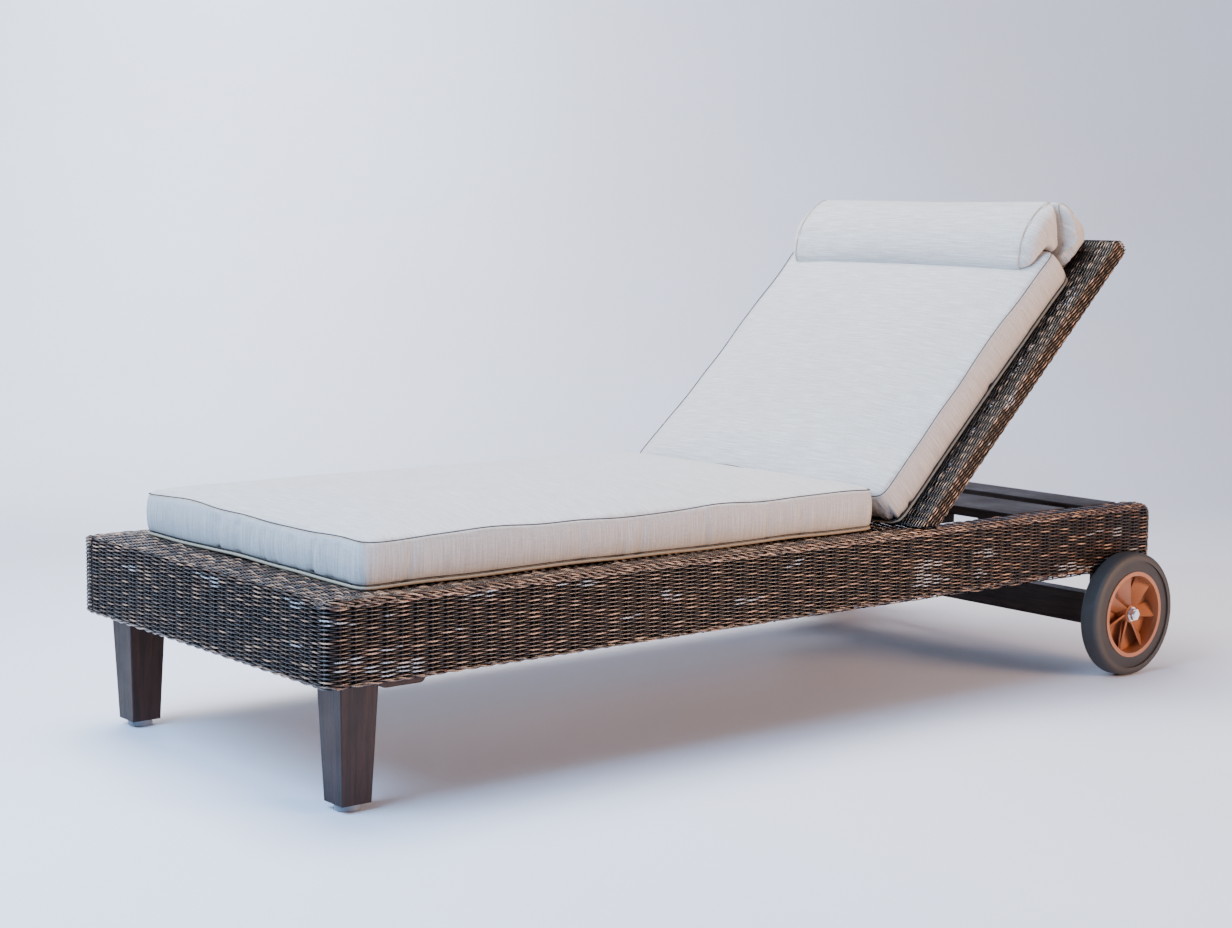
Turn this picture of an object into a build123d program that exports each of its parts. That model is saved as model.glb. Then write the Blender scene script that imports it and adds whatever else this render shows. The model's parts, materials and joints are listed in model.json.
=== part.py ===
import os
from math import cos, radians, sin

from build123d import *

os.makedirs("parts", exist_ok=True)

# Reclining sun lounger, millimetres. +X points to the head end, -Y is the left side,
# +Z is up, and the origin is on the floor under the middle of the whole lounger.

# base frame
overall_length = 2002
base_length = 1980
base_width = 820
deck_top = 342
rail_bottom_foot = 205
rail_bottom_head = 216
rail_width = 40
skin = 6
rail_end_radius = 30
foot_corner_radius = 24
deck_thickness = 8
slat_thickness = 12
slat_width = 60
slat_count = 9

# cross boards behind the backrest
board_thickness = 18
front_board_start = 593
front_board_width = 163
rear_board_start = 809
rear_board_width = 106
bearer_spacing = 490
bearer_start = 649
board_edge = 2.5

# front legs and their glides
leg_top = 70
leg_bottom = 54
leg_inset_x = 43.5
leg_inset_y = 30.4
glide_radius = 21.5
glide_height = 12
brace_drop = 14
brace_rounding = 12
leg_bolt_bottom = 130

# rear legs and the board between them
rear_leg_width = 64
rear_leg_thickness = 38
rear_leg_bottom = 88
rear_leg_outset = 5
axle_board_width = 40
axle_board_height = 64
axle_board_z = 123

# wheels and axle
axle_x = 876
wheel_radius = 125
band_radius = 109
rim_radius = 87
rim_inner_radius = 79
hub_radius = 17
bush_radius = 9
axle_radius = 6
running_gap = 0.05
wheel_inner_y = 416
wheel_outer_y = 458
inner_washer_radius = 15
outer_washer_radius = 14
outer_washer_y = 451.5
washer_thickness = 2
nut_y = 456.5
nut_radius = 12.5
nut_half = 4
cap_y = 460
cap_radius = 8
cap_half = 3
blade_count = 7
blade_thickness = 3.5
web_thickness = 4
web_inset = 6

# backrest, in its own frame: s runs up the back from the hinge, t points to its front
hinge_x = 343
hinge_z = 370
rest_angle = 44
panel_half = 20
panel_width = 816
stile_width = 40
panel_length = 720
panel_corner = 16
floor_gap = 2.5
skin_back_t = 14.5
batten_back_t = 2.5
batten_width = 44
batten_places = (160, 317, 470, 620)

# prop that holds the backrest up
prop_s = 317
prop_t = -10
prop_length = 247
prop_rest_angle = -89
prop_y = 190
prop_arm_thickness = 8
prop_arm_radius = 10
prop_bar_radius = 9
prop_pin_radius = 4
ledge_slope = 39.3

# cushions
cushion_half_width = 360
seat_cushion_start = -906
seat_cushion_end = 221
seat_cushion_height = 75
cushion_gap = 0.5
pillow_half_width = 342
pillow_band_half_width = 240
seat_corner_radius = 22

# hinge hardware
hinge_rail_bottom = 232
hinge_rail_depth = 30
hinge_rail_setback = 32
bracket_bottom = 250
bracket_shoulder = 357
flange_width = 30
flange_thickness = 4
flange_height = 66
hinge_plate_y = 358
hinge_plate_thickness = 6
hinge_plate_radius = 13
hinge_pin_radius = 5

foot_x = -overall_length / 2
head_x = foot_x + base_length
half_width = base_width / 2
rail_y = half_width - rail_width / 2
inner_y = half_width - rail_width
core = rail_width - 2 * skin
slat_bottom = deck_top - deck_thickness - slat_thickness
board_bottom = deck_top - board_thickness
sides = (("left", -1), ("right", 1))
sin_rest = sin(radians(rest_angle))
cos_rest = cos(radians(rest_angle))


def rail_bottom(x):
    """Height of the side rail's underside, which rises slightly to the head end."""
    rise = rail_bottom_head - rail_bottom_foot
    return rail_bottom_foot + rise * (x - foot_x) / base_length


def side_plane(y):
    """Upright plane along the lounger at y: sketch x is X, sketch y is Z."""
    return Plane(origin=(0, y, 0), x_dir=(1, 0, 0), z_dir=(0, -1, 0))


def panel_plane(y):
    """Backrest side plane at y: sketch x is s, sketch y is t."""
    return Plane(origin=(hinge_x, y, hinge_z), x_dir=(cos_rest, 0, sin_rest), z_dir=(0, -1, 0))


def panel_point(s, t):
    """World x and z of a backrest point at rest."""
    return (hinge_x + s * cos_rest - t * sin_rest, hinge_z + s * sin_rest + t * cos_rest)


def foot_cut(t, inset=0):
    """Backrest length at which its level bottom face lies, for a given t."""
    drop = hinge_z - deck_top - floor_gap - inset
    return (-drop - t * cos_rest) / sin_rest


# fasteners come first, because the pieces that they pass through are drilled with them
bolt_x = (foot_x + 56, foot_x + 101)
bolt_y = half_width - leg_inset_y - leg_top / 2
with BuildPart() as leg_bolts:
    bolt_places = [(x, side * bolt_y) for x in bolt_x for name, side in sides]
    with BuildSketch(Plane.XY.offset(leg_bolt_bottom)):
        with Locations(*bolt_places):
            Circle(4)
    extrude(amount=slat_bottom - leg_bolt_bottom)
    with BuildSketch(Plane.XY.offset(slat_bottom)):
        with Locations(*bolt_places):
            RegularPolygon(8, 6)
    extrude(amount=5.5)
leg_bolts.part.label = "leg_bolts"
export_step(leg_bolts.part, "parts/leg_bolts.step")

screw_x = (front_board_start + 45, front_board_start + 118, rear_board_start + 28, rear_board_start + 78)
with BuildPart() as board_screws:
    screw_places = [(x, side * (inner_y - 12)) for x in screw_x for name, side in sides]
    with BuildSketch(Plane.XY.offset(board_bottom - 14)):
        with Locations(*screw_places):
            Circle(2.2)
    extrude(amount=board_thickness + 12)
    with BuildSketch(Plane.XY.offset(deck_top - 2)):
        with Locations(*screw_places):
            Circle(4.5)
    extrude(amount=1.6)
board_screws.part.label = "board_screws"
export_step(board_screws.part, "parts/board_screws.step")

axle_end = wheel_outer_y - 2
with BuildPart() as axle_rod:
    with BuildSketch(side_plane(0)):
        with Locations((axle_x, wheel_radius)):
            Circle(axle_radius)
    extrude(amount=axle_end, both=True)
axle_rod.part.label = "axle_rod"
export_step(axle_rod.part, "parts/axle_rod.step")

# side rails: a wooden core inside a woven sleeve, closed at both ends
for name, side in sides:
    with BuildPart() as side_rail:
        with BuildSketch(side_plane(side * rail_y)):
            with BuildLine():
                Polyline(
                    (foot_x + skin, rail_bottom(foot_x) + skin),
                    (head_x - skin, rail_bottom(head_x) + skin),
                    (head_x - skin, deck_top - skin),
                    (foot_x + skin, deck_top - skin),
                    close=True,
                )
            make_face()
        extrude(amount=core / 2, both=True)
        head_edges = side_rail.edges().filter_by(Axis.Y).group_by(Axis.X)[-1]
        fillet(head_edges.sort_by(Axis.Z)[-1], rail_end_radius - skin)
        foot_edges = side_rail.edges().filter_by(Axis.Z).group_by(Axis.X)[0]
        fillet(foot_edges.sort_by(Axis((0, 0, 0), (0, side, 0)))[-1], foot_corner_radius - skin)
    side_rail.part.label = f"side_rail_{name}"
    export_step(side_rail.part, f"parts/side_rail_{name}.step")

    with BuildPart() as wicker_side:
        with BuildSketch(side_plane(side * rail_y)):
            with BuildLine():
                Polyline(
                    (foot_x, rail_bottom(foot_x)),
                    (head_x, rail_bottom(head_x)),
                    (head_x, deck_top),
                    (foot_x, deck_top),
                    close=True,
                )
            make_face()
        extrude(amount=rail_width / 2, both=True)
        head_edges = wicker_side.edges().filter_by(Axis.Y).group_by(Axis.X)[-1]
        fillet(head_edges.sort_by(Axis.Z)[-1], rail_end_radius)
        foot_edges = wicker_side.edges().filter_by(Axis.Z).group_by(Axis.X)[0]
        fillet(foot_edges.sort_by(Axis((0, 0, 0), (0, side, 0)))[-1], foot_corner_radius)
        add(side_rail.part, mode=Mode.SUBTRACT)
    wicker_side.part.label = f"wicker_side_{name}"
    export_step(wicker_side.part, f"parts/wicker_side_{name}.step")

# foot rail between the side rails, with its woven sleeve
with BuildPart() as foot_rail:
    with BuildSketch(Plane.XY.offset(rail_bottom(foot_x) + skin)):
        with Locations((foot_x + rail_width / 2, 0)):
            Rectangle(core, 2 * inner_y)
    extrude(amount=deck_top - rail_bottom(foot_x) - 2 * skin)
foot_rail.part.label = "foot_rail"
export_step(foot_rail.part, "parts/foot_rail.step")

with BuildPart() as wicker_foot:
    with BuildSketch(Plane.XY.offset(rail_bottom(foot_x))):
        with Locations((foot_x + rail_width / 2, 0)):
            Rectangle(rail_width, 2 * inner_y)
    extrude(amount=deck_top - rail_bottom(foot_x))
    add(foot_rail.part, mode=Mode.SUBTRACT)
wicker_foot.part.label = "wicker_foot"
export_step(wicker_foot.part, "parts/wicker_foot.step")

# cross rail that carries the hinge brackets and the end of the deck
hinge_rail_x = hinge_x - hinge_rail_setback
deck_end = hinge_rail_x + hinge_rail_depth / 2
with BuildPart() as hinge_rail:
    with BuildSketch(Plane.XY.offset(hinge_rail_bottom)):
        with Locations((hinge_rail_x, 0)):
            Rectangle(hinge_rail_depth, 2 * inner_y)
    extrude(amount=deck_top - deck_thickness - hinge_rail_bottom)
hinge_rail.part.label = "hinge_rail"
export_step(hinge_rail.part, "parts/hinge_rail.step")

# woven deck on its slats, and the ledger strips that carry slats and boards
deck_start = foot_x + rail_width
with BuildPart() as wicker_deck:
    with BuildSketch(Plane.XY.offset(deck_top - deck_thickness)):
        with Locations(((deck_start + deck_end) / 2, 0)):
            Rectangle(deck_end - deck_start, 2 * inner_y)
    extrude(amount=deck_thickness)
wicker_deck.part.label = "wicker_deck"
export_step(wicker_deck.part, "parts/wicker_deck.step")

first_slat = foot_x + 151
last_slat = hinge_rail_x - hinge_rail_depth / 2 - slat_width / 2 - 6
slat_pitch = (last_slat - first_slat) / (slat_count - 1)
with BuildPart() as seat_slats:
    with BuildSketch(Plane.XY.offset(slat_bottom)):
        with Locations(*[(first_slat + i * slat_pitch, 0) for i in range(slat_count)]):
            Rectangle(slat_width, 2 * inner_y - 1)
    extrude(amount=slat_thickness)
seat_slats.part.label = "seat_slats"
export_step(seat_slats.part, "parts/seat_slats.step")

ledger_width = 24
ledger_depth = 22
block_end = foot_x + 200
seat_ledger = (block_end, hinge_rail_x - hinge_rail_depth / 2)
board_ledger = (front_board_start, rear_board_start + rear_board_width + 20)
with BuildPart() as rail_ledgers:
    for (start, end), top in ((seat_ledger, slat_bottom), (board_ledger, board_bottom)):
        with BuildSketch(Plane.XY.offset(top - ledger_depth)):
            for name, side in sides:
                with Locations(((start + end) / 2, side * (inner_y - ledger_width / 2))):
                    Rectangle(end - start, ledger_width)
        extrude(amount=ledger_depth)
    add(board_screws.part, mode=Mode.SUBTRACT)
rail_ledgers.part.label = "rail_ledgers"
export_step(rail_ledgers.part, "parts/rail_ledgers.step")

# the two cross boards at the head end and the bearers that tie them
boards = (
    ("front_board", front_board_start, front_board_width),
    ("rear_board", rear_board_start, rear_board_width),
)
for name, start, width in boards:
    with BuildPart() as board:
        with BuildSketch(Plane.XY.offset(board_bottom)):
            with Locations((start + width / 2, 0)):
                Rectangle(width, 2 * inner_y - 1)
        extrude(amount=board_thickness)
        chamfer(board.edges().filter_by(Axis.Y).group_by(Axis.Z)[-1], board_edge)
        add(board_screws.part, mode=Mode.SUBTRACT)
    board.part.label = name
    export_step(board.part, f"parts/{name}.step")

bearer_end = rear_board_start + rear_board_width
with BuildPart() as board_bearers:
    with BuildSketch(Plane.XY.offset(board_bottom - 25)):
        with Locations(((bearer_start + bearer_end) / 2, 0)):
            with GridLocations(0, bearer_spacing, 1, 2):
                Rectangle(bearer_end - bearer_start, ledger_width)
    extrude(amount=25)
board_bearers.part.label = "board_bearers"
export_step(board_bearers.part, "parts/board_bearers.step")

# prop in its own plane: pivot on the back, foot in front of the front board
prop_top = panel_point(prop_s, prop_t)
prop_foot = (
    prop_top[0] + prop_length * cos(radians(prop_rest_angle)),
    prop_top[1] + prop_length * sin(radians(prop_rest_angle)),
)

# ledge under the prop's foot bar: its sloping face lies along the way the bar leaves
slope_x = cos(radians(ledge_slope))
slope_z = sin(radians(ledge_slope))
touch_x = prop_foot[0] + (prop_bar_radius + cushion_gap) * slope_z
touch_z = prop_foot[1] - (prop_bar_radius + cushion_gap) * slope_x
ledge_back = front_board_start - 0.4
ledge_front = prop_foot[0] - 10
with BuildPart() as prop_rest:
    with BuildSketch(side_plane(0)):
        with BuildLine():
            Polyline(
                (ledge_back, touch_z + (ledge_back - touch_x) * slope_z / slope_x),
                (ledge_front, touch_z + (ledge_front - touch_x) * slope_z / slope_x),
                (ledge_front, board_bottom - 24),
                (front_board_start + 46, board_bottom - 24),
                (front_board_start + 46, board_bottom),
                (ledge_back, board_bottom),
                close=True,
            )
        make_face()
    extrude(amount=prop_y - 12, both=True)
prop_rest.part.label = "prop_rest"
export_step(prop_rest.part, "parts/prop_rest.step")

# rear legs and the axle board between them
leg_front = axle_x - rear_leg_width / 2
leg_rear = axle_x + rear_leg_width / 2
leg_middle_y = rail_y - rear_leg_outset
for name, side in sides:
    with BuildPart() as rear_leg:
        with BuildSketch(side_plane(side * leg_middle_y)):
            with BuildLine():
                Polyline(
                    (leg_front, rear_leg_bottom),
                    (leg_rear, rear_leg_bottom),
                    (leg_rear, rail_bottom(leg_rear)),
                    (leg_front, rail_bottom(leg_front)),
                    close=True,
                )
            make_face()
        extrude(amount=rear_leg_thickness / 2, both=True)
        chamfer(rear_leg.edges().filter_by(Axis.Y).group_by(Axis.Z)[0], 6)
        add(axle_rod.part, mode=Mode.SUBTRACT)
    rear_leg.part.label = f"rear_leg_{name}"
    export_step(rear_leg.part, f"parts/rear_leg_{name}.step")

with BuildPart() as axle_board:
    with BuildSketch(side_plane(0)):
        with Locations((axle_x, axle_board_z)):
            RectangleRounded(axle_board_width, axle_board_height, 3)
        with Locations((axle_x, wheel_radius)):
            Circle(axle_radius, mode=Mode.SUBTRACT)
    extrude(amount=leg_middle_y - rear_leg_thickness / 2, both=True)
axle_board.part.label = "axle_board"
export_step(axle_board.part, "parts/axle_board.step")

washers = (
    (leg_middle_y + rear_leg_thickness / 2, wheel_inner_y - cushion_gap, inner_washer_radius),
    (outer_washer_y - washer_thickness / 2, outer_washer_y + washer_thickness / 2, outer_washer_radius),
)
with BuildPart() as axle_washers:
    for side_sign in (-1, 1):
        for start, end, radius in washers:
            with BuildSketch(side_plane(side_sign * (start + end) / 2)):
                with Locations((axle_x, wheel_radius)):
                    Circle(radius)
                    Circle(axle_radius, mode=Mode.SUBTRACT)
            extrude(amount=(end - start) / 2, both=True)
axle_washers.part.label = "axle_washers"
export_step(axle_washers.part, "parts/axle_washers.step")

with BuildPart() as cap_nuts:
    for side_sign in (-1, 1):
        with BuildSketch(side_plane(side_sign * nut_y)):
            with Locations((axle_x, wheel_radius)):
                RegularPolygon(nut_radius, 6)
        extrude(amount=nut_half, both=True)
        with BuildSketch(side_plane(side_sign * cap_y)):
            with Locations((axle_x, wheel_radius)):
                Circle(cap_radius)
        extrude(amount=cap_half, both=True)
    add(axle_rod.part, mode=Mode.SUBTRACT)
cap_nuts.part.label = "cap_nuts"
export_step(cap_nuts.part, "parts/cap_nuts.step")

# front legs, glides, corner blocks and the rounded braces behind the legs
leg_x = foot_x + leg_inset_x + leg_top / 2
for name, side in sides:
    with BuildPart() as front_leg:
        with BuildSketch(Plane.XY.offset(glide_height)):
            with Locations((leg_x, side * bolt_y)):
                Rectangle(leg_bottom, leg_bottom)
        with BuildSketch(Plane.XY.offset(rail_bottom_foot)):
            with Locations((leg_x, side * bolt_y)):
                Rectangle(leg_top, leg_top)
        loft()
        fillet(front_leg.edges().filter_by(lambda edge: edge.length > 2 * leg_top), 2)
        add(leg_bolts.part, mode=Mode.SUBTRACT)
    front_leg.part.label = f"front_leg_{name}"
    export_step(front_leg.part, f"parts/front_leg_{name}.step")

with BuildPart() as glides:
    with BuildSketch():
        with Locations(*[(leg_x, side * bolt_y) for name, side in sides]):
            Circle(glide_radius)
    extrude(amount=glide_height)
    fillet(glides.edges().group_by(Axis.Z)[0], 2.5)
glides.part.label = "glides"
export_step(glides.part, "parts/glides.step")

with BuildPart() as corner_blocks:
    with BuildSketch(Plane.XY.offset(rail_bottom_foot)):
        for name, side in sides:
            with Locations(((deck_start + block_end) / 2, side * (inner_y - 35))):
                Rectangle(block_end - deck_start, 70)
    extrude(amount=slat_bottom - rail_bottom_foot)
    add(leg_bolts.part, mode=Mode.SUBTRACT)
corner_blocks.part.label = "corner_blocks"
export_step(corner_blocks.part, "parts/corner_blocks.step")

brace_start = leg_x + leg_top / 2
with BuildPart() as leg_braces:
    for side_sign in (-1, 1):
        with BuildSketch(side_plane(side_sign * (inner_y - 25))):
            with Locations(((brace_start + block_end) / 2, rail_bottom_foot - brace_drop / 2)):
                Rectangle(block_end - brace_start, brace_drop)
        extrude(amount=35, both=True)
    fillet(leg_braces.edges().filter_by(Axis.Y).group_by(Axis.Z)[0], brace_rounding)
leg_braces.part.label = "leg_braces"
export_step(leg_braces.part, "parts/leg_braces.step")

# hinge brackets stand behind the hinge rail, and their round ends carry the hinge pins
plate_rear = hinge_x + hinge_plate_radius
plate_front = hinge_x - hinge_plate_radius
with BuildPart() as hinge_brackets:
    for side_sign in (-1, 1):
        with BuildSketch(side_plane(side_sign * hinge_plate_y)):
            with BuildLine():
                Polyline((deck_end, bracket_bottom), (plate_rear, bracket_bottom), (plate_rear, hinge_z))
                RadiusArc((plate_rear, hinge_z), (plate_front, hinge_z), -hinge_plate_radius)
                Polyline((plate_front, hinge_z), (deck_end, bracket_shoulder), (deck_end, bracket_bottom))
            make_face()
            with Locations((hinge_x, hinge_z)):
                Circle(hinge_pin_radius + running_gap, mode=Mode.SUBTRACT)
        extrude(amount=hinge_plate_thickness / 2, both=True)
        with BuildSketch(Plane.XY.offset(bracket_bottom)):
            flange_y = hinge_plate_y - (hinge_plate_thickness + flange_width) / 2
            with Locations((deck_end + flange_thickness / 2, side_sign * flange_y)):
                Rectangle(flange_thickness, flange_width)
        extrude(amount=flange_height)
hinge_brackets.part.label = "hinge_brackets"
export_step(hinge_brackets.part, "parts/hinge_brackets.step")

# wheels: rubber tyre, dark band, finned centre and a plain bush on the axle
blade_stations = ((hub_radius - 3, 22, 34), (rim_inner_radius + 2, 34, 54))
for name, side in sides:
    wheel_middle = side * (wheel_inner_y + wheel_outer_y) / 2
    wheel_half = (wheel_outer_y - wheel_inner_y) / 2
    hub_plane = Plane(origin=(axle_x, wheel_middle, wheel_radius), x_dir=(1, 0, 0), z_dir=(0, -1, 0))

    with BuildPart() as tyre:
        with BuildSketch(hub_plane):
            Circle(wheel_radius)
            Circle(band_radius, mode=Mode.SUBTRACT)
        extrude(amount=wheel_half, both=True)
        tread_edges = tyre.edges().filter_by(GeomType.CIRCLE).group_by(SortBy.RADIUS)[-1]
        fillet(tread_edges, 10)
    tyre.part.label = f"tyre_{name}"
    export_step(tyre.part, f"parts/tyre_{name}.step")

    with BuildPart() as wheel_band:
        with BuildSketch(hub_plane):
            Circle(band_radius)
            Circle(rim_radius, mode=Mode.SUBTRACT)
        extrude(amount=wheel_half - 3, both=True)
    wheel_band.part.label = f"wheel_band_{name}"
    export_step(wheel_band.part, f"parts/wheel_band_{name}.step")

    with BuildPart() as wheel_centre:
        with BuildSketch(hub_plane):
            Circle(rim_radius)
            Circle(rim_inner_radius, mode=Mode.SUBTRACT)
        extrude(amount=wheel_half - 1.5, both=True)
        with BuildSketch(hub_plane):
            Circle(hub_radius)
        extrude(amount=wheel_half - 9, both=True)
        with BuildSketch(hub_plane.offset(side * (wheel_half - web_inset))):
            Circle(rim_radius)
        extrude(amount=web_thickness / 2, both=True)
        for i in range(blade_count):
            turn = 360 * i / blade_count
            along = Vector(cos(radians(turn)), 0, sin(radians(turn)))
            across = Vector(0, -1, 0)
            for radius, width, twist in blade_stations:
                tilt = across * cos(radians(twist)) + along.cross(across) * sin(radians(twist))
                station = Plane(origin=hub_plane.origin + along * radius, x_dir=tilt, z_dir=along)
                with BuildSketch(station):
                    Rectangle(width, blade_thickness)
            loft()
        with BuildSketch(hub_plane):
            Circle(bush_radius)
        extrude(amount=wheel_half, both=True, mode=Mode.SUBTRACT)
    wheel_centre.part.label = f"wheel_centre_{name}"
    export_step(wheel_centre.part, f"parts/wheel_centre_{name}.step")

    with BuildPart() as hub_bush:
        with BuildSketch(hub_plane):
            Circle(bush_radius)
            Circle(axle_radius + running_gap, mode=Mode.SUBTRACT)
        extrude(amount=wheel_half - 8, both=True)
    hub_bush.part.label = f"hub_bush_{name}"
    export_step(hub_bush.part, f"parts/hub_bush_{name}.step")

# hinge pins and their spacer washers turn with the backrest
panel_y = (panel_width - stile_width) / 2
stile_inner = panel_width / 2 - stile_width
with BuildPart() as hinge_pins:
    for side_sign in (-1, 1):
        for start, end, radius in ((353, panel_width / 2 - 14, hinge_pin_radius), (350, 354.5, 8)):
            with BuildSketch(side_plane(side_sign * (start + end) / 2)):
                with Locations((hinge_x, hinge_z)):
                    Circle(radius)
            extrude(amount=(end - start) / 2, both=True)
hinge_pins.part.label = "hinge_pins"
export_step(hinge_pins.part, "parts/hinge_pins.step")

with BuildPart() as hinge_washers:
    washer_middle = (hinge_plate_y + hinge_plate_thickness / 2 + 0.5 + stile_inner) / 2
    for side_sign in (-1, 1):
        with BuildSketch(side_plane(side_sign * washer_middle)):
            with Locations((hinge_x, hinge_z)):
                Circle(10)
                Circle(hinge_pin_radius, mode=Mode.SUBTRACT)
        extrude(amount=stile_inner - washer_middle, both=True)
hinge_washers.part.label = "hinge_washers"
export_step(hinge_washers.part, "parts/hinge_washers.step")

# backrest stiles: wooden core in a woven sleeve, cut level at the foot
for name, side in sides:
    with BuildPart() as back_stile:
        with BuildSketch(panel_plane(side * panel_y)):
            half = panel_half - skin
            with BuildLine():
                Polyline(
                    (foot_cut(-half, skin), -half),
                    (panel_length - skin, -half),
                    (panel_length - skin, half),
                    (foot_cut(half, skin), half),
                    close=True,
                )
            make_face()
        extrude(amount=core / 2, both=True)
        fillet(back_stile.edges().filter_by(Axis.Y).group_by(Axis.Z)[-1], panel_corner - skin)
        add(hinge_pins.part, mode=Mode.SUBTRACT)
    back_stile.part.label = f"back_stile_{name}"
    export_step(back_stile.part, f"parts/back_stile_{name}.step")

    with BuildPart() as wicker_stile:
        with BuildSketch(panel_plane(side * panel_y)):
            with BuildLine():
                Polyline(
                    (foot_cut(-panel_half), -panel_half),
                    (panel_length, -panel_half),
                    (panel_length, panel_half),
                    (foot_cut(panel_half), panel_half),
                    close=True,
                )
            make_face()
            with Locations((4, 2 - panel_half)):
                Circle(8)
        extrude(amount=stile_width / 2, both=True)
        fillet(wicker_stile.edges().filter_by(Axis.Y).group_by(Axis.Z)[-1], panel_corner)
        add(back_stile.part, mode=Mode.SUBTRACT)
        add(hinge_pins.part, mode=Mode.SUBTRACT)
    wicker_stile.part.label = f"wicker_stile_{name}"
    export_step(wicker_stile.part, f"parts/wicker_stile_{name}.step")

# head rail of the backrest, with its sleeve
with BuildPart() as back_top_rail:
    with BuildSketch(panel_plane(0)):
        with Locations((panel_length - rail_width / 2, 0)):
            Rectangle(core, core)
    extrude(amount=stile_inner, both=True)
back_top_rail.part.label = "back_top_rail"
export_step(back_top_rail.part, "parts/back_top_rail.step")

with BuildPart() as wicker_back_top:
    with BuildSketch(panel_plane(0)):
        with Locations((panel_length - rail_width / 2, 0)):
            Rectangle(rail_width, 2 * panel_half)
    extrude(amount=stile_inner, both=True)
    fillet(wicker_back_top.edges().filter_by(Axis.Y).group_by(Axis.Z)[-1], panel_corner)
    add(back_top_rail.part, mode=Mode.SUBTRACT)
wicker_back_top.part.label = "wicker_back_top"
export_step(wicker_back_top.part, "parts/wicker_back_top.step")

# foot rail, battens and woven front skin between the stiles
with BuildPart() as back_foot_rail:
    with BuildSketch(panel_plane(0)):
        with Locations((38, 0.25)):
            Rectangle(40, 28.5)
    extrude(amount=stile_inner, both=True)
back_foot_rail.part.label = "back_foot_rail"
export_step(back_foot_rail.part, "parts/back_foot_rail.step")

batten_middle = (skin_back_t + batten_back_t) / 2
with BuildPart() as back_battens:
    with BuildSketch(panel_plane(0)):
        with Locations(*[(place, batten_middle) for place in batten_places]):
            Rectangle(batten_width, skin_back_t - batten_back_t)
        with Locations((-31, batten_middle)):
            Rectangle(14, skin_back_t - batten_back_t)
    extrude(amount=stile_inner, both=True)
back_battens.part.label = "back_battens"
export_step(back_battens.part, "parts/back_battens.step")

with BuildPart() as wicker_back:
    with BuildSketch(panel_plane(0)):
        with BuildLine():
            Polyline(
                (foot_cut(skin_back_t), skin_back_t),
                (panel_length - rail_width, skin_back_t),
                (panel_length - rail_width, panel_half),
                (foot_cut(panel_half), panel_half),
                close=True,
            )
        make_face()
    extrude(amount=stile_inner, both=True)
wicker_back.part.label = "wicker_back"
export_step(wicker_back.part, "parts/wicker_back.step")

# prop brackets on the second batten, their pins, and the prop's arms and foot bar
with BuildPart() as prop_pins:
    for side_sign in (-1, 1):
        with BuildSketch(panel_plane(side_sign * prop_y)):
            with Locations((prop_s, prop_t)):
                Circle(prop_pin_radius)
        extrude(amount=11, both=True)
prop_pins.part.label = "prop_pins"
export_step(prop_pins.part, "parts/prop_pins.step")

with BuildPart() as prop_brackets:
    for side_sign in (-1, 1):
        with BuildSketch(panel_plane(side_sign * prop_y)):
            with Locations((prop_s, batten_back_t - 1)):
                Rectangle(batten_width, 2)
        extrude(amount=15, both=True)
        for cheek in (-6.5, 6.5):
            with BuildSketch(panel_plane(side_sign * prop_y + cheek)):
                with Locations((prop_s, (prop_t + batten_back_t) / 2 - 0.5)):
                    Rectangle(16, batten_back_t - prop_t - 1)
                with Locations((prop_s, prop_t)):
                    Circle(8)
            extrude(amount=1.5, both=True)
    add(prop_pins.part, mode=Mode.SUBTRACT)
prop_brackets.part.label = "prop_brackets"
export_step(prop_brackets.part, "parts/prop_brackets.step")

for name, side in sides:
    with BuildPart() as prop_arm:
        with BuildSketch(side_plane(side * prop_y)):
            with Locations(((prop_top[0] + prop_foot[0]) / 2, (prop_top[1] + prop_foot[1]) / 2)):
                SlotCenterToCenter(prop_length, 2 * prop_arm_radius, rotation=prop_rest_angle)
            with Locations(prop_top):
                Circle(prop_pin_radius + running_gap, mode=Mode.SUBTRACT)
        extrude(amount=prop_arm_thickness / 2, both=True)
    prop_arm.part.label = f"prop_arm_{name}"
    export_step(prop_arm.part, f"parts/prop_arm_{name}.step")

with BuildPart() as prop_bar:
    with BuildSketch(side_plane(0)):
        with Locations(prop_foot):
            Circle(prop_bar_radius)
    extrude(amount=prop_y - prop_arm_thickness / 2, both=True)
prop_bar.part.label = "prop_bar"
export_step(prop_bar.part, "parts/prop_bar.step")

# cushions: plain closed solids of the right size
with BuildPart() as seat_cushion:
    with BuildSketch(Plane.XY.offset(deck_top + cushion_gap)):
        with Locations(((seat_cushion_start + seat_cushion_end) / 2, 0)):
            RectangleRounded(
                seat_cushion_end - seat_cushion_start, 2 * cushion_half_width, seat_corner_radius
            )
    extrude(amount=seat_cushion_height)
    fillet(seat_cushion.edges().group_by(Axis.Z)[-1], 8)
seat_cushion.part.label = "seat_cushion"
export_step(seat_cushion.part, "parts/seat_cushion.step")

cushion_profiles = (
    (
        "back_cushion",
        cushion_half_width,
        ((-14, 20.5), (598, 20.5), (606, 30), (606, 97), (-30, 100), (-62, 88), (-60, 56), (-37, 30)),
    ),
    (
        "head_pillow",
        pillow_half_width,
        ((530, 101), (607, 98), (607, 62), (640, 62), (690, 136), (680, 152), (620, 158), (565, 143),
         (538, 122)),
    ),
    (
        "pillow_counterweight",
        cushion_half_width,
        ((608, 21), (708, 21), (720, 50), (716, 112), (706, 134), (695, 137), (645, 58), (608, 58)),
    ),
    (
        "pillow_band",
        pillow_band_half_width,
        ((643.3, 66), (646, 64.5), (686, 125.5), (684, 126.5)),
    ),
)
for name, half_length, outline in cushion_profiles:
    with BuildPart() as cushion:
        with BuildSketch(panel_plane(0)):
            with BuildLine():
                Polyline(*outline, close=True)
            make_face()
        extrude(amount=half_length, both=True)
    cushion.part.label = name
    export_step(cushion.part, f"parts/{name}.step")
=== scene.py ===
import json
import math

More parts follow.
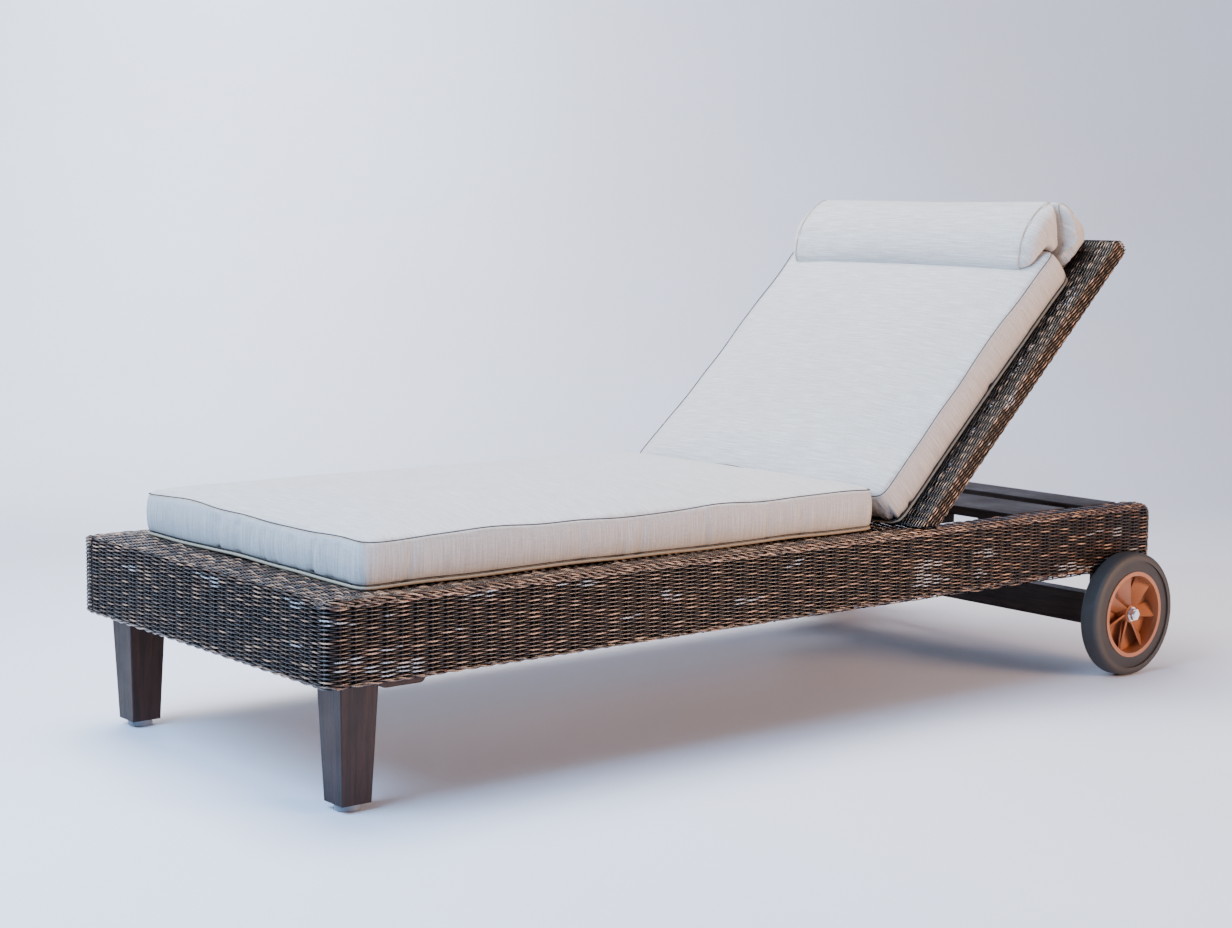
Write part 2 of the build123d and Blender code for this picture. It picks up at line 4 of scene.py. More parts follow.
import bpy
import numpy as np
from mathutils import Matrix, Vector


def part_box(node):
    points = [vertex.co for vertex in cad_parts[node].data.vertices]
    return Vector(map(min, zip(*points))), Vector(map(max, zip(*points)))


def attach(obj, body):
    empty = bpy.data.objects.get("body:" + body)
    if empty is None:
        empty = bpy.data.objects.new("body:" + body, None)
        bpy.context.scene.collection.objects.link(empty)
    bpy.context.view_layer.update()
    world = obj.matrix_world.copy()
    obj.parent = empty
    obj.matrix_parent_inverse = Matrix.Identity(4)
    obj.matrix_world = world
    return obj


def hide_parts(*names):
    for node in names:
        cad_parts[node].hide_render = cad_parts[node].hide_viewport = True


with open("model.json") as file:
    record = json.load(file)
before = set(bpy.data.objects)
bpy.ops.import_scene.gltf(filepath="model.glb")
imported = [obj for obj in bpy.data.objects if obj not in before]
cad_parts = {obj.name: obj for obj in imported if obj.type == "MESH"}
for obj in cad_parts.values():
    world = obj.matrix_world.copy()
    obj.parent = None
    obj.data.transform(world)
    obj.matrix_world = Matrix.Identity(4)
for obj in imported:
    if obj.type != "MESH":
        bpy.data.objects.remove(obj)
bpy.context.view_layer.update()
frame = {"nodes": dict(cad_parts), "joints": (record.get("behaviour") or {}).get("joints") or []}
print("frame loaded")

# ---- shared helpers: meshes from arrays, nodes, materials


def makeObject(name, points, quads, material):
    mesh = bpy.data.meshes.new(name)
    mesh.vertices.add(len(points))
    mesh.vertices.foreach_set("co", np.asarray(points, np.float32).ravel())
    mesh.loops.add(quads.size)
    mesh.loops.foreach_set("vertex_index", np.asarray(quads, np.int32).ravel())
    mesh.polygons.add(len(quads))
    mesh.polygons.foreach_set("loop_start", np.arange(0, quads.size, 4, dtype=np.int32))
    mesh.polygons.foreach_set("use_smooth", np.ones(len(quads), bool))
    mesh.update(calc_edges=True)
    mesh.validate()
    mesh.materials.append(material)
    obj = bpy.data.objects.new(name, mesh)
    bpy.context.scene.collection.objects.link(obj)
    return obj


def addValues(obj, name, values):
    attribute = obj.data.attributes.new(name, "FLOAT", "POINT")
    attribute.data.foreach_set("value", np.asarray(values, np.float32).ravel())


def readPoints(mesh):
    points = np.zeros(len(mesh.vertices) * 3, np.float32)
    mesh.vertices.foreach_get("co", points)
    return points.reshape(-1, 3).astype(float)


def setPoints(mesh, points):
    mesh.vertices.foreach_set("co", np.asarray(points, np.float32).ravel())
    mesh.update()


def smoothStep(low, high, value):
    t = np.clip((value - low) / (high - low), 0, 1)
    return t * t * (3 - 2 * t)


def node(tree, kind, **values):
    made = tree.nodes.new(kind)
    for name, value in values.items():
        setattr(made, name, value)
    return made


def feed(tree, target, source):
    # a socket gets a link when source is a socket, and a fixed value otherwise
    if isinstance(source, bpy.types.NodeSocket):
        tree.links.new(source, target)
    else:
        target.default_value = source


def mathNode(tree, operation, a, b=None, clamp=False):
    made = node(tree, "ShaderNodeMath", operation=operation, use_clamp=clamp)
    for socket, value in zip(made.inputs, (a, b)):
        if value is not None:
            feed(tree, socket, value)
    return made.outputs[0]


def mixColour(tree, factor, a, b):
    made = node(tree, "ShaderNodeMix", data_type="RGBA")
    feed(tree, made.inputs[0], factor)
    feed(tree, made.inputs[6], a)
    feed(tree, made.inputs[7], b)
    return made.outputs[2]


def remap(tree, value, fromLow, fromHigh, toLow=0.0, toHigh=1.0):
    made = node(tree, "ShaderNodeMapRange")
    for socket, given in zip(made.inputs, (value, fromLow, fromHigh, toLow, toHigh)):
        feed(tree, socket, given)
    return made.outputs[0]


def noise(tree, vector, scale, detail=3.0, roughness=0.55, distortion=0.0):
    made = node(tree, "ShaderNodeTexNoise")
    feed(tree, made.inputs["Vector"], vector)
    made.inputs["Scale"].default_value = scale
    made.inputs["Detail"].default_value = detail
    made.inputs["Roughness"].default_value = roughness
    made.inputs["Distortion"].default_value = distortion
    return made.outputs["Fac"]


def stretch(tree, vector, scales):
    made = node(tree, "ShaderNodeMapping")
    feed(tree, made.inputs["Vector"], vector)
    made.inputs["Scale"].default_value = scales
    return made.outputs[0]


def makeGroup(name, inputs, outputs):
    # a shader node group with its sockets; returns the tree, its input sockets and its output node
    tree = bpy.data.node_groups.new(name, "ShaderNodeTree")
    for label, kind, value in inputs:
        socket = tree.interface.new_socket(label, in_out="INPUT", socket_type=kind)
        if value is not None:
            socket.default_value = value
    for label, kind in outputs:
        tree.interface.new_socket(label, in_out="OUTPUT", socket_type=kind)
    return tree, node(tree, "NodeGroupInput").outputs, node(tree, "NodeGroupOutput")


def useGroup(tree, group, **values):
    made = node(tree, "ShaderNodeGroup", node_tree=group)
    for label, value in values.items():
        feed(tree, made.inputs[label], value)
    return made.outputs


def newMaterial(name):
    material = bpy.data.materials.new(name)
    material.use_nodes = True
    tree = material.node_tree
    tree.nodes.clear()
    shader = node(tree, "ShaderNodeBsdfPrincipled")
    output = node(tree, "ShaderNodeOutputMaterial")
    tree.links.new(shader.outputs[0], output.inputs[0])
    return material, tree, shader


def objectVector(tree):
    return node(tree, "ShaderNodeTexCoord").outputs["Object"]


def addBump(tree, shader, height, distance, strength):
    bump = node(tree, "ShaderNodeBump")
    bump.inputs["Strength"].default_value = strength
    bump.inputs["Distance"].default_value = distance
    feed(tree, bump.inputs["Height"], height)
    tree.links.new(bump.outputs[0], shader.inputs["Normal"])


# ---- shader groups shared by several materials


def makeWearGroup():
    tree, given, out = makeGroup(
        "surfaceWear",
        [("Vector", "NodeSocketVector", None), ("Scale", "NodeSocketFloat", 1.0)],
        [("Blotch", "NodeSocketFloat"), ("Fine", "NodeSocketFloat"), ("Scratch", "NodeSocketFloat")],
    )
    scaled = node(tree, "ShaderNodeVectorMath", operation="SCALE")
    feed(tree, scaled.inputs[0], given["Vector"])
    feed(tree, scaled.inputs["Scale"], given["Scale"])
    base = scaled.outputs[0]
    blotch = noise(tree, base, 9.0, 4.0)
    fine = noise(tree, base, 220.0, 2.0)
    scratch = noise(tree, stretch(tree, base, (40.0, 40.0, 600.0)), 1.0, 2.0)
    feed(tree, out.inputs["Blotch"], remap(tree, blotch, 0.35, 0.65))
    feed(tree, out.inputs["Fine"], remap(tree, fine, 0.3, 0.7))
    feed(tree, out.inputs["Scratch"], remap(tree, scratch, 0.55, 0.75))
    return tree


def makeGrainGroup():
    tree, given, out = makeGroup(
        "woodGrain",
        [("Vector", "NodeSocketVector", None), ("Figure", "NodeSocketFloat", 1.0)],
        [("Grain", "NodeSocketFloat"), ("Pore", "NodeSocketFloat"), ("Streak", "NodeSocketFloat")],
    )
    warp = noise(tree, stretch(tree, given["Vector"], (6.0, 6.0, 1.6)), 1.0, 2.0)
    shifted = node(tree, "ShaderNodeVectorMath", operation="MULTIPLY_ADD")
    feed(tree, shifted.inputs[0], warp)
    shifted.inputs[1].default_value = (0.03, 0.03, 0.0)
    feed(tree, shifted.inputs[2], given["Vector"])
    grain = noise(tree, stretch(tree, shifted.outputs[0], (170.0, 170.0, 7.0)), 1.0, 5.0, 0.6, 0.4)
    pore = noise(tree, stretch(tree, given["Vector"], (900.0, 900.0, 30.0)), 1.0, 1.0)
    streak = noise(tree, stretch(tree, shifted.outputs[0], (38.0, 38.0, 2.2)), 1.0, 3.0, 0.5, 0.8)
    feed(tree, out.inputs["Grain"], remap(tree, grain, 0.32, 0.68))
    feed(tree, out.inputs["Pore"], remap(tree, pore, 0.5, 0.72))
    feed(
        tree, out.inputs["Streak"],
        mathNode(tree, "MULTIPLY", remap(tree, streak, 0.38, 0.66), given["Figure"]),
    )
    return tree


def makeClothGroup():
    # heathered plain weave read along u and v in metres: yarn colour, slub and height
    tree, given, out = makeGroup(
        "heatherCloth",
        [("Vector", "NodeSocketVector", None), ("Pitch", "NodeSocketFloat", 0.0011)],
        [("Heather", "NodeSocketFloat"), ("Slub", "NodeSocketFloat"), ("Height", "NodeSocketFloat")],
    )
    parts = node(tree, "ShaderNodeSeparateXYZ")
    feed(tree, parts.inputs[0], given["Vector"])
    sway = noise(tree, given["Vector"], 60.0, 2.0)
    threads = []
    for socket in (parts.outputs[0], parts.outputs[1]):
        turns = mathNode(tree, "DIVIDE", socket, given["Pitch"])
        turns = mathNode(tree, "ADD", turns, mathNode(tree, "MULTIPLY", sway, 1.6))
        threads.append(mathNode(tree, "SINE", mathNode(tree, "MULTIPLY", turns, math.pi)))
    weaveHeight = mathNode(tree, "MULTIPLY", threads[0], threads[1])
    longSlub = noise(tree, stretch(tree, given["Vector"], (16.0, 420.0, 1.0)), 1.0, 3.0, 0.6)
    crossSlub = noise(tree, stretch(tree, given["Vector"], (620.0, 36.0, 1.0)), 1.0, 2.0, 0.5)
    heather = noise(tree, stretch(tree, given["Vector"], (240.0, 900.0, 1.0)), 1.0, 2.0, 0.7)
    feed(tree, out.inputs["Heather"], remap(tree, heather, 0.3, 0.7))
    slub = mathNode(
        tree, "ADD", remap(tree, longSlub, 0.42, 0.68),
        mathNode(tree, "MULTIPLY", remap(tree, crossSlub, 0.5, 0.75), 0.35),
    )
    feed(tree, out.inputs["Slub"], slub)
    height = mathNode(
        tree, "ADD", mathNode(tree, "MULTIPLY", weaveHeight, 0.35), mathNode(tree, "MULTIPLY", slub, 0.9),
    )
    feed(tree, out.inputs["Height"], height)
    return tree


wearGroup = makeWearGroup()
grainGroup = makeGrainGroup()
clothGroup = makeClothGroup()

# ---- materials

rattanLook = {
    # the first colour is painted shade, drawn where lift is low: sunken crossings, sides of strands,
    # stakes and the sheets behind the weave
    "paintedShade": (0.0022, 0.0016, 0.0015, 1),
    "dark": (0.010, 0.0062, 0.0048, 1),
    "brown": (0.078, 0.036, 0.019, 1),
    # copper is the lighter tone of some strands, and also a painted highlight, since tone is raised on the
    # crest of each dash
    "copper": (0.60, 0.36, 0.225, 1),
    "red": (0.20, 0.050, 0.018, 1),
    "worn": (0.74, 0.75, 0.78, 1),
    "roughness": 0.26,
    "coat": 0.85,
}


def makeRattan():
    material, tree, shader = newMaterial("rattanWeave")
    tone = node(tree, "ShaderNodeAttribute", attribute_name="tone").outputs["Fac"]
    worn = node(tree, "ShaderNodeAttribute", attribute_name="worn").outputs["Fac"]
    lift = node(tree, "ShaderNodeAttribute", attribute_name="lift").outputs["Fac"]
    # painted shade: low lift mixes the base colour towards the painted shade colour and fades specular and
    # coat, standing in for shade in the hollows of the weave
    unshadedShare = remap(tree, lift, 0.12, 0.66)
    where = objectVector(tree)
    streak = noise(tree, where, 520.0, 3.0, 0.6)
    patch = noise(tree, where, 70.0, 2.0)
    varied = mathNode(
        tree, "ADD", tone, mathNode(tree, "MULTIPLY", mathNode(tree, "SUBTRACT", streak, 0.5), 0.9),
    )
    low = mixColour(tree, remap(tree, varied, 0.15, 0.62), rattanLook["dark"], rattanLook["brown"])
    # painted highlight: high tone on the raised crests mixes towards copper
    high = mixColour(tree, remap(tree, varied, 0.6, 1.05), low, rattanLook["copper"])
    red = mathNode(
        tree, "MULTIPLY", remap(tree, patch, 0.6, 0.72), remap(tree, varied, 0.35, 0.7), clamp=True,
    )
    stained = mixColour(tree, mathNode(tree, "MULTIPLY", red, 0.7), high, rattanLook["red"])
    flake = mathNode(tree, "MULTIPLY", worn, remap(tree, streak, 0.40, 0.60), clamp=True)
    surface = mixColour(tree, flake, stained, rattanLook["worn"])
    feed(tree, shader.inputs["Base Color"], mixColour(tree, unshadedShare, rattanLook["paintedShade"], surface))
    feed(tree, shader.inputs["Specular IOR Level"], mathNode(tree, "MULTIPLY", unshadedShare, 0.5))
    feed(
        tree, shader.inputs["Roughness"],
        remap(tree, streak, 0.2, 0.8, rattanLook["roughness"] - 0.1, rattanLook["roughness"] + 0.16),
    )
    feed(tree, shader.inputs["Coat Weight"], mathNode(tree, "MULTIPLY", unshadedShare, rattanLook["coat"]))
    shader.inputs["Coat Roughness"].default_value = 0.15
    addBump(tree, shader, noise(tree, where, 900.0, 2.0), 0.0004, 0.5)
    return material


woodLooks = {
    "leg": {
        "dark": (0.006, 0.0030, 0.0030, 1), "light": (0.024, 0.0110, 0.0095, 1),
        "streak": (0.050, 0.019, 0.014, 1), "roughness": 0.46, "coat": 0.05,
    },
    "board": {
        "dark": (0.010, 0.0066, 0.0056, 1), "light": (0.040, 0.025, 0.020, 1),
        "streak": (0.070, 0.043, 0.034, 1), "roughness": 0.52, "coat": 0.0,
    },
    "frame": {
        "dark": (0.007, 0.005, 0.004, 1), "light": (0.028, 0.018, 0.012, 1),
        "streak": (0.04, 0.022, 0.014, 1), "roughness": 0.6, "coat": 0.0,
    },
}


def makeWood(name, look, axis):
    # grain runs along the named axis
    material, tree, shader = newMaterial(name)
    turns = {"x": (0, math.pi / 2, 0), "y": (math.pi / 2, 0, 0), "z": (0, 0, 0)}
    turned = node(tree, "ShaderNodeMapping")
    feed(tree, turned.inputs["Vector"], objectVector(tree))
    turned.inputs["Rotation"].default_value = turns[axis]
    grain = useGroup(tree, grainGroup, Vector=turned.outputs[0], Figure=1.0)
    wear = useGroup(tree, wearGroup, Vector=objectVector(tree), Scale=1.0)
    base = mixColour(tree, grain["Grain"], look["dark"], look["light"])
    base = mixColour(tree, mathNode(tree, "MULTIPLY", grain["Streak"], 0.6), base, look["streak"])
    base = mixColour(tree, mathNode(tree, "MULTIPLY", grain["Pore"], 0.55), base, look["dark"])
    feed(tree, shader.inputs["Base Color"], base)
    feed(
        tree, shader.inputs["Roughness"],
        remap(tree, wear["Blotch"], 0.0, 1.0, look["roughness"] - 0.06, look["roughness"] + 0.1),
    )
    shader.inputs["Specular IOR Level"].default_value = 0.26
    shader.inputs["Coat Weight"].default_value = look["coat"]
    shader.inputs["Coat Roughness"].default_value = 0.22
    addBump(tree, shader, mathNode(tree, "SUBTRACT", grain["Grain"], grain["Pore"]), 0.0003, 0.45)
    return material


plainLooks = {
    "steel": {
        "colour": (0.34, 0.34, 0.35, 1), "shade": (0.16, 0.155, 0.15, 1), "metallic": 1.0,
        "roughness": 0.36, "coat": 0.0, "bump": 0.00008,
    },
    "chrome": {
        "colour": (0.90, 0.91, 0.94, 1), "shade": (0.66, 0.67, 0.70, 1), "metallic": 1.0,
        "roughness": 0.20, "coat": 0.0, "bump": 0.00005,
    },
    "tyre": {
        "colour": (0.026, 0.024, 0.024, 1), "shade": (0.046, 0.043, 0.043, 1), "metallic": 0.0,
        "roughness": 0.6, "coat": 0.0, "bump": 0.00025,
    },
    "band": {
        "colour": (0.012, 0.009, 0.008, 1), "shade": (0.022, 0.016, 0.013, 1), "metallic": 0.0,
        "roughness": 0.42, "coat": 0.0, "bump": 0.0001,
    },
    "copper": {
        "colour": (0.40, 0.150, 0.062, 1), "shade": (0.27, 0.095, 0.040, 1), "metallic": 0.1,
        "roughness": 0.42, "coat": 0.2, "bump": 0.0001,
    },
    "glide": {
        "colour": (0.24, 0.27, 0.31, 1), "shade": (0.15, 0.17, 0.2, 1), "metallic": 0.0, "roughness": 0.42,
        "coat": 0.0, "bump": 0.0001,
    },
    "bush": {
        "colour": (0.018, 0.018, 0.019, 1), "shade": (0.03, 0.03, 0.03, 1), "metallic": 0.0,
        "roughness": 0.45, "coat": 0.0, "bump": 0.0001,
    },
}


def makePlain(name, look):
    material, tree, shader = newMaterial(name)
    wear = useGroup(tree, wearGroup, Vector=objectVector(tree), Scale=1.6)
    base = mixColour(tree, mathNode(tree, "MULTIPLY", wear["Blotch"], 0.7), look["colour"], look["shade"])
    base = mixColour(tree, mathNode(tree, "MULTIPLY", wear["Fine"], 0.25), base, look["shade"])
    feed(tree, shader.inputs["Base Color"], base)
    shader.inputs["Metallic"].default_value = look["metallic"]
    worn = mathNode(
        tree, "ADD", mathNode(tree, "MULTIPLY", wear["Blotch"], 0.12),
        mathNode(tree, "MULTIPLY", wear["Scratch"], 0.08),
    )
    feed(tree, shader.inputs["Roughness"], mathNode(tree, "ADD", worn, look["roughness"] - 0.06))
    shader.inputs["Coat Weight"].default_value = look["coat"]
    addBump(tree, shader, wear["Fine"], look["bump"], 0.6)
    return material


clothLook = {
    "light": (0.60, 0.572, 0.548, 1),
    "mid": (0.36, 0.335, 0.315, 1),
    "slub": (0.78, 0.755, 0.735, 1),
    "roughness": 0.86,
    "sheen": 0.25,
}


def makeCloth():
    material, tree, shader = newMaterial("heatherFabric")
    where = node(tree, "ShaderNodeAttribute", attribute_name="cloth").outputs["Vector"]
    cloth = useGroup(tree, clothGroup, Vector=where, Pitch=0.0012)
    wear = useGroup(tree, wearGroup, Vector=objectVector(tree), Scale=0.7)
    base = mixColour(tree, cloth["Heather"], clothLook["mid"], clothLook["light"])
    base = mixColour(
        tree, mathNode(tree, "MULTIPLY", cloth["Slub"], 0.6, clamp=True), base, clothLook["slub"],
    )
    base = mixColour(tree, mathNode(tree, "MULTIPLY", wear["Blotch"], 0.10), base, clothLook["mid"])
    feed(tree, shader.inputs["Base Color"], base)
    shader.inputs["Roughness"].default_value = clothLook["roughness"]
    shader.inputs["Sheen Weight"].default_value = clothLook["sheen"]
    shader.inputs["Sheen Roughness"].default_value = 0.5
    addBump(tree, shader, cloth["Height"], 0.0005, 0.6)
    return material


pipingLook = {
    "light": (0.50, 0.42, 0.31, 1), "dark": (0.34, 0.27, 0.19, 1), "seam": (0.035, 0.030, 0.030, 1),
}


def makeTrim(name, light, dark):
    material, tree, shader = newMaterial(name)
    where = objectVector(tree)
    wear = useGroup(tree, wearGroup, Vector=where, Scale=3.0)
    feed(tree, shader.inputs["Base Color"], mixColour(tree, wear["Fine"], dark, light))
    shader.inputs["Roughness"].default_value = 0.85
    addBump(tree, shader, wear["Fine"], 0.0003, 0.6)
    return material


rattan = makeRattan()
fabric = makeCloth()
piping = makeTrim("pipingCord", pipingLook["light"], pipingLook["dark"])
seamThread = makeTrim("seamThread", (0.07, 0.06, 0.06, 1), pipingLook["seam"])
legWoodUp = makeWood("legWoodUpright", woodLooks["leg"], "z")
legWoodAlong = makeWood("legWoodAlong", woodLooks["leg"], "x")
boardWood = makeWood("boardWoodCross", woodLooks["board"], "y")
boardWoodAlong = makeWood("boardWoodAlong", woodLooks["board"], "x")
frameWoodAlong = makeWood("frameWoodAlong", woodLooks["frame"], "x")
frameWoodCross = makeWood("frameWoodCross", woodLooks["frame"], "y")
plain = {name: makePlain(name + "Finish", look) for name, look in plainLooks.items()}

nodeFinish = {
    legWoodUp: ("front_leg_left", "front_leg_right", "rear_leg_left", "rear_leg_right"),
    legWoodAlong: ("leg_braces",),
    boardWood: ("front_board", "rear_board", "prop_rest", "axle_board"),
    boardWoodAlong: ("board_bearers",),
    frameWoodAlong: (
        "side_rail_left", "side_rail_right", "rail_ledgers", "corner_blocks", "back_stile_left",
        "back_stile_right",
    ),
    frameWoodCross: (
        "foot_rail", "hinge_rail", "seat_slats", "back_top_rail", "back_foot_rail", "back_battens",
    ),
    plain["steel"]: (
        "axle_rod", "hinge_brackets", "leg_bolts", "board_screws", "hinge_pins", "hinge_washers",
        "prop_brackets", "prop_pins", "prop_arm_left", "prop_arm_right", "prop_bar",
    ),
    plain["chrome"]: ("cap_nuts", "axle_washers"),
    plain["glide"]: ("glides",),
    plain["tyre"]: ("tyre_left", "tyre_right"),
    plain["band"]: ("wheel_band_left", "wheel_band_right"),
    plain["copper"]: ("wheel_centre_left", "wheel_centre_right"),
    plain["bush"]: ("hub_bush_left", "hub_bush_right"),
}
for material, names in nodeFinish.items():
    for name in names:
        mesh = frame["nodes"][name].data
        mesh.materials.clear()
        mesh.materials.append(material)
print("materials made")

# ---- woven rattan: every strand is a real strand

weaveLook = {
    "stakeSpacing": 0.028,
    "rowPitch": 0.0033,
    "halfWidth": 0.00138,
    "halfThickness": 0.00125,
    "wave": 0.00150,
    "inset": 0.0030,
    "wornShare": 0.62,
}


def roundPath(points, radii, step=0.002):
    # dense polyline through points, each corner rounded to its radius
    points = [np.array(p, float) for p in points]
    dense = [points[0]]
    for i in range(1, len(points) - 1):
        before, corner, after = points[i - 1], points[i], points[i + 1]
        a, b = (before - corner), (after - corner)
        a, b = a / np.linalg.norm(a), b / np.linalg.norm(b)
        half = math.acos(np.clip(a @ b, -1, 1)) / 2
        radius = radii[i - 1]
        if radius <= 0:
            dense.append(corner)
            continue
        reach = radius / math.tan(half)
        centre = corner + (a + b) / np.linalg.norm(a + b) * radius / math.sin(half)
        start, end = corner + a * reach - centre, corner + b * reach - centre
        sweep = math.pi - 2 * half
        for t in np.linspace(0, 1, 9):
            spread = math.sin(sweep)
            dense.append(centre + (math.sin((1 - t) * sweep) * start + math.sin(t * sweep) * end) / spread)
    dense.append(points[-1])
    dense = np.array(dense)
    lengths = np.concatenate([[0], np.cumsum(np.linalg.norm(np.diff(dense, axis=0), axis=1))])
    count = max(2, int(lengths[-1] / step) + 1)
    at = np.linspace(0, lengths[-1], count)
    path = np.stack([np.interp(at, lengths, dense[:, k]) for k in (0, 1)], 1)
    return at, path


class Band:
    # a woven surface: a path in a plane, drawn out along an axis. flip turns its outside over

    def __init__(self, points, radii, place, flip=False):
        self.at, self.path = roundPath(points, radii)
        self.length = self.at[-1]
        run = np.gradient(self.path, self.at, axis=0)
        run /= np.linalg.norm(run, axis=1)[:, None]
        self.run = run
        self.out = np.stack([-run[:, 1], run[:, 0]], 1) * (-1 if flip else 1)
        self.place = place

    def sample(self, u, c):
        # world point, outward direction, path direction and axis direction
        pick = lambda table: np.stack([np.interp(u, self.at, table[:, k]) for k in (0, 1)], -1)
        point, out, run = pick(self.path), pick(self.out), pick(self.run)
        zero = np.zeros_like(u)
        origin = self.place(zero, zero, zero)
        world = self.place(point[..., 0], point[..., 1], c)
        outward = self.place(out[..., 0], out[..., 1], zero) - origin
        along = self.place(run[..., 0], run[..., 1], zero) - origin
        axis = self.place(zero, zero, zero + 1) - origin
        return world, outward, along, axis


def tubeAngles(sides):
    return 2 * math.pi * (np.arange(sides) + (0.5 if sides == 4 else sides / 4)) / sides


def tubes(centre, wide, out, halfWide, halfOut, sides):
    # tube vertices and quads for strands (rows, points, 3) with an oval section
    rows, count = centre.shape[:2]
    angles = tubeAngles(sides)
    ring = (
        centre[:, :, None, :]
        + np.cos(angles)[None, None, :, None] * halfWide[:, :, None, None] * wide[:, :, None, :]
        + np.sin(angles)[None, None, :, None] * halfOut[:, :, None, None] * out[:, :, None, :]
    )
    index = np.arange(rows * count * sides).reshape(rows, count, sides)
    a, b = index[:, :-1, :], index[:, 1:, :]
    quads = np.stack([a, b, np.roll(b, -1, 2), np.roll(a, -1, 2)], -1).reshape(-1, 4)
    return ring.reshape(-1, 3), quads


class Weaving:
    # collects strands and makes one object of them

    def __init__(self, name):
        self.name = name
        self.points, self.quads, self.tone, self.worn, self.lift = [], [], [], [], []
        self.count = 0

    def add(self, points, quads, tone, worn, lift):
        self.points.append(points)
        self.quads.append(quads + self.count)
        self.tone.append(tone)
        self.worn.append(worn)
        self.lift.append(lift)
        self.count += len(points)

    def tube(self, centre, wide, out, halfWide, halfOut, tone, worn, lift, sides=5):
        points, quads = tubes(centre, wide, out, halfWide, halfOut, sides)
        spread = lambda values: np.repeat(values[:, :, None], sides, 2).ravel()
        # painted shade on the sides of each strand: lift is full on its outward face and falls towards its
        # sides
        sideShade = np.clip(0.35 + 0.65 * np.sin(tubeAngles(sides)), 0, 1) if sides > 4 else np.ones(sides)
        self.add(points, quads, spread(tone), spread(worn), (lift[:, :, None] * sideShade).ravel())

    def finish(self, body, nodes):
        obj = makeObject(self.name, np.concatenate(self.points), np.concatenate(self.quads), rattan)
        addValues(obj, "tone", np.concatenate(self.tone))
        addValues(obj, "worn", np.concatenate(self.worn))
        addValues(obj, "lift", np.concatenate(self.lift))
        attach(obj, body)
        if nodes:
            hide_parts(*nodes)
        print(self.name, len(obj.data.polygons) * 2, "triangles")


def wornField(random, length, height, blobs):
    # clusters of worn strands, as soft spots along the run and across the rows
    spots = [
        (
            random.uniform(0, length), random.uniform(0.1, 0.9) * height, random.uniform(0.02, 0.07),
            random.uniform(0.006, 0.018),
        )
        for _ in range(blobs)
    ]

    def field(w, v):
        total = np.zeros(np.broadcast(w, v).shape)
        for w0, v0, sizeW, sizeV in spots:
            total += np.exp(-(((w - w0) / sizeW) ** 2) - ((v - v0) / sizeV) ** 2)
        return total

    return field


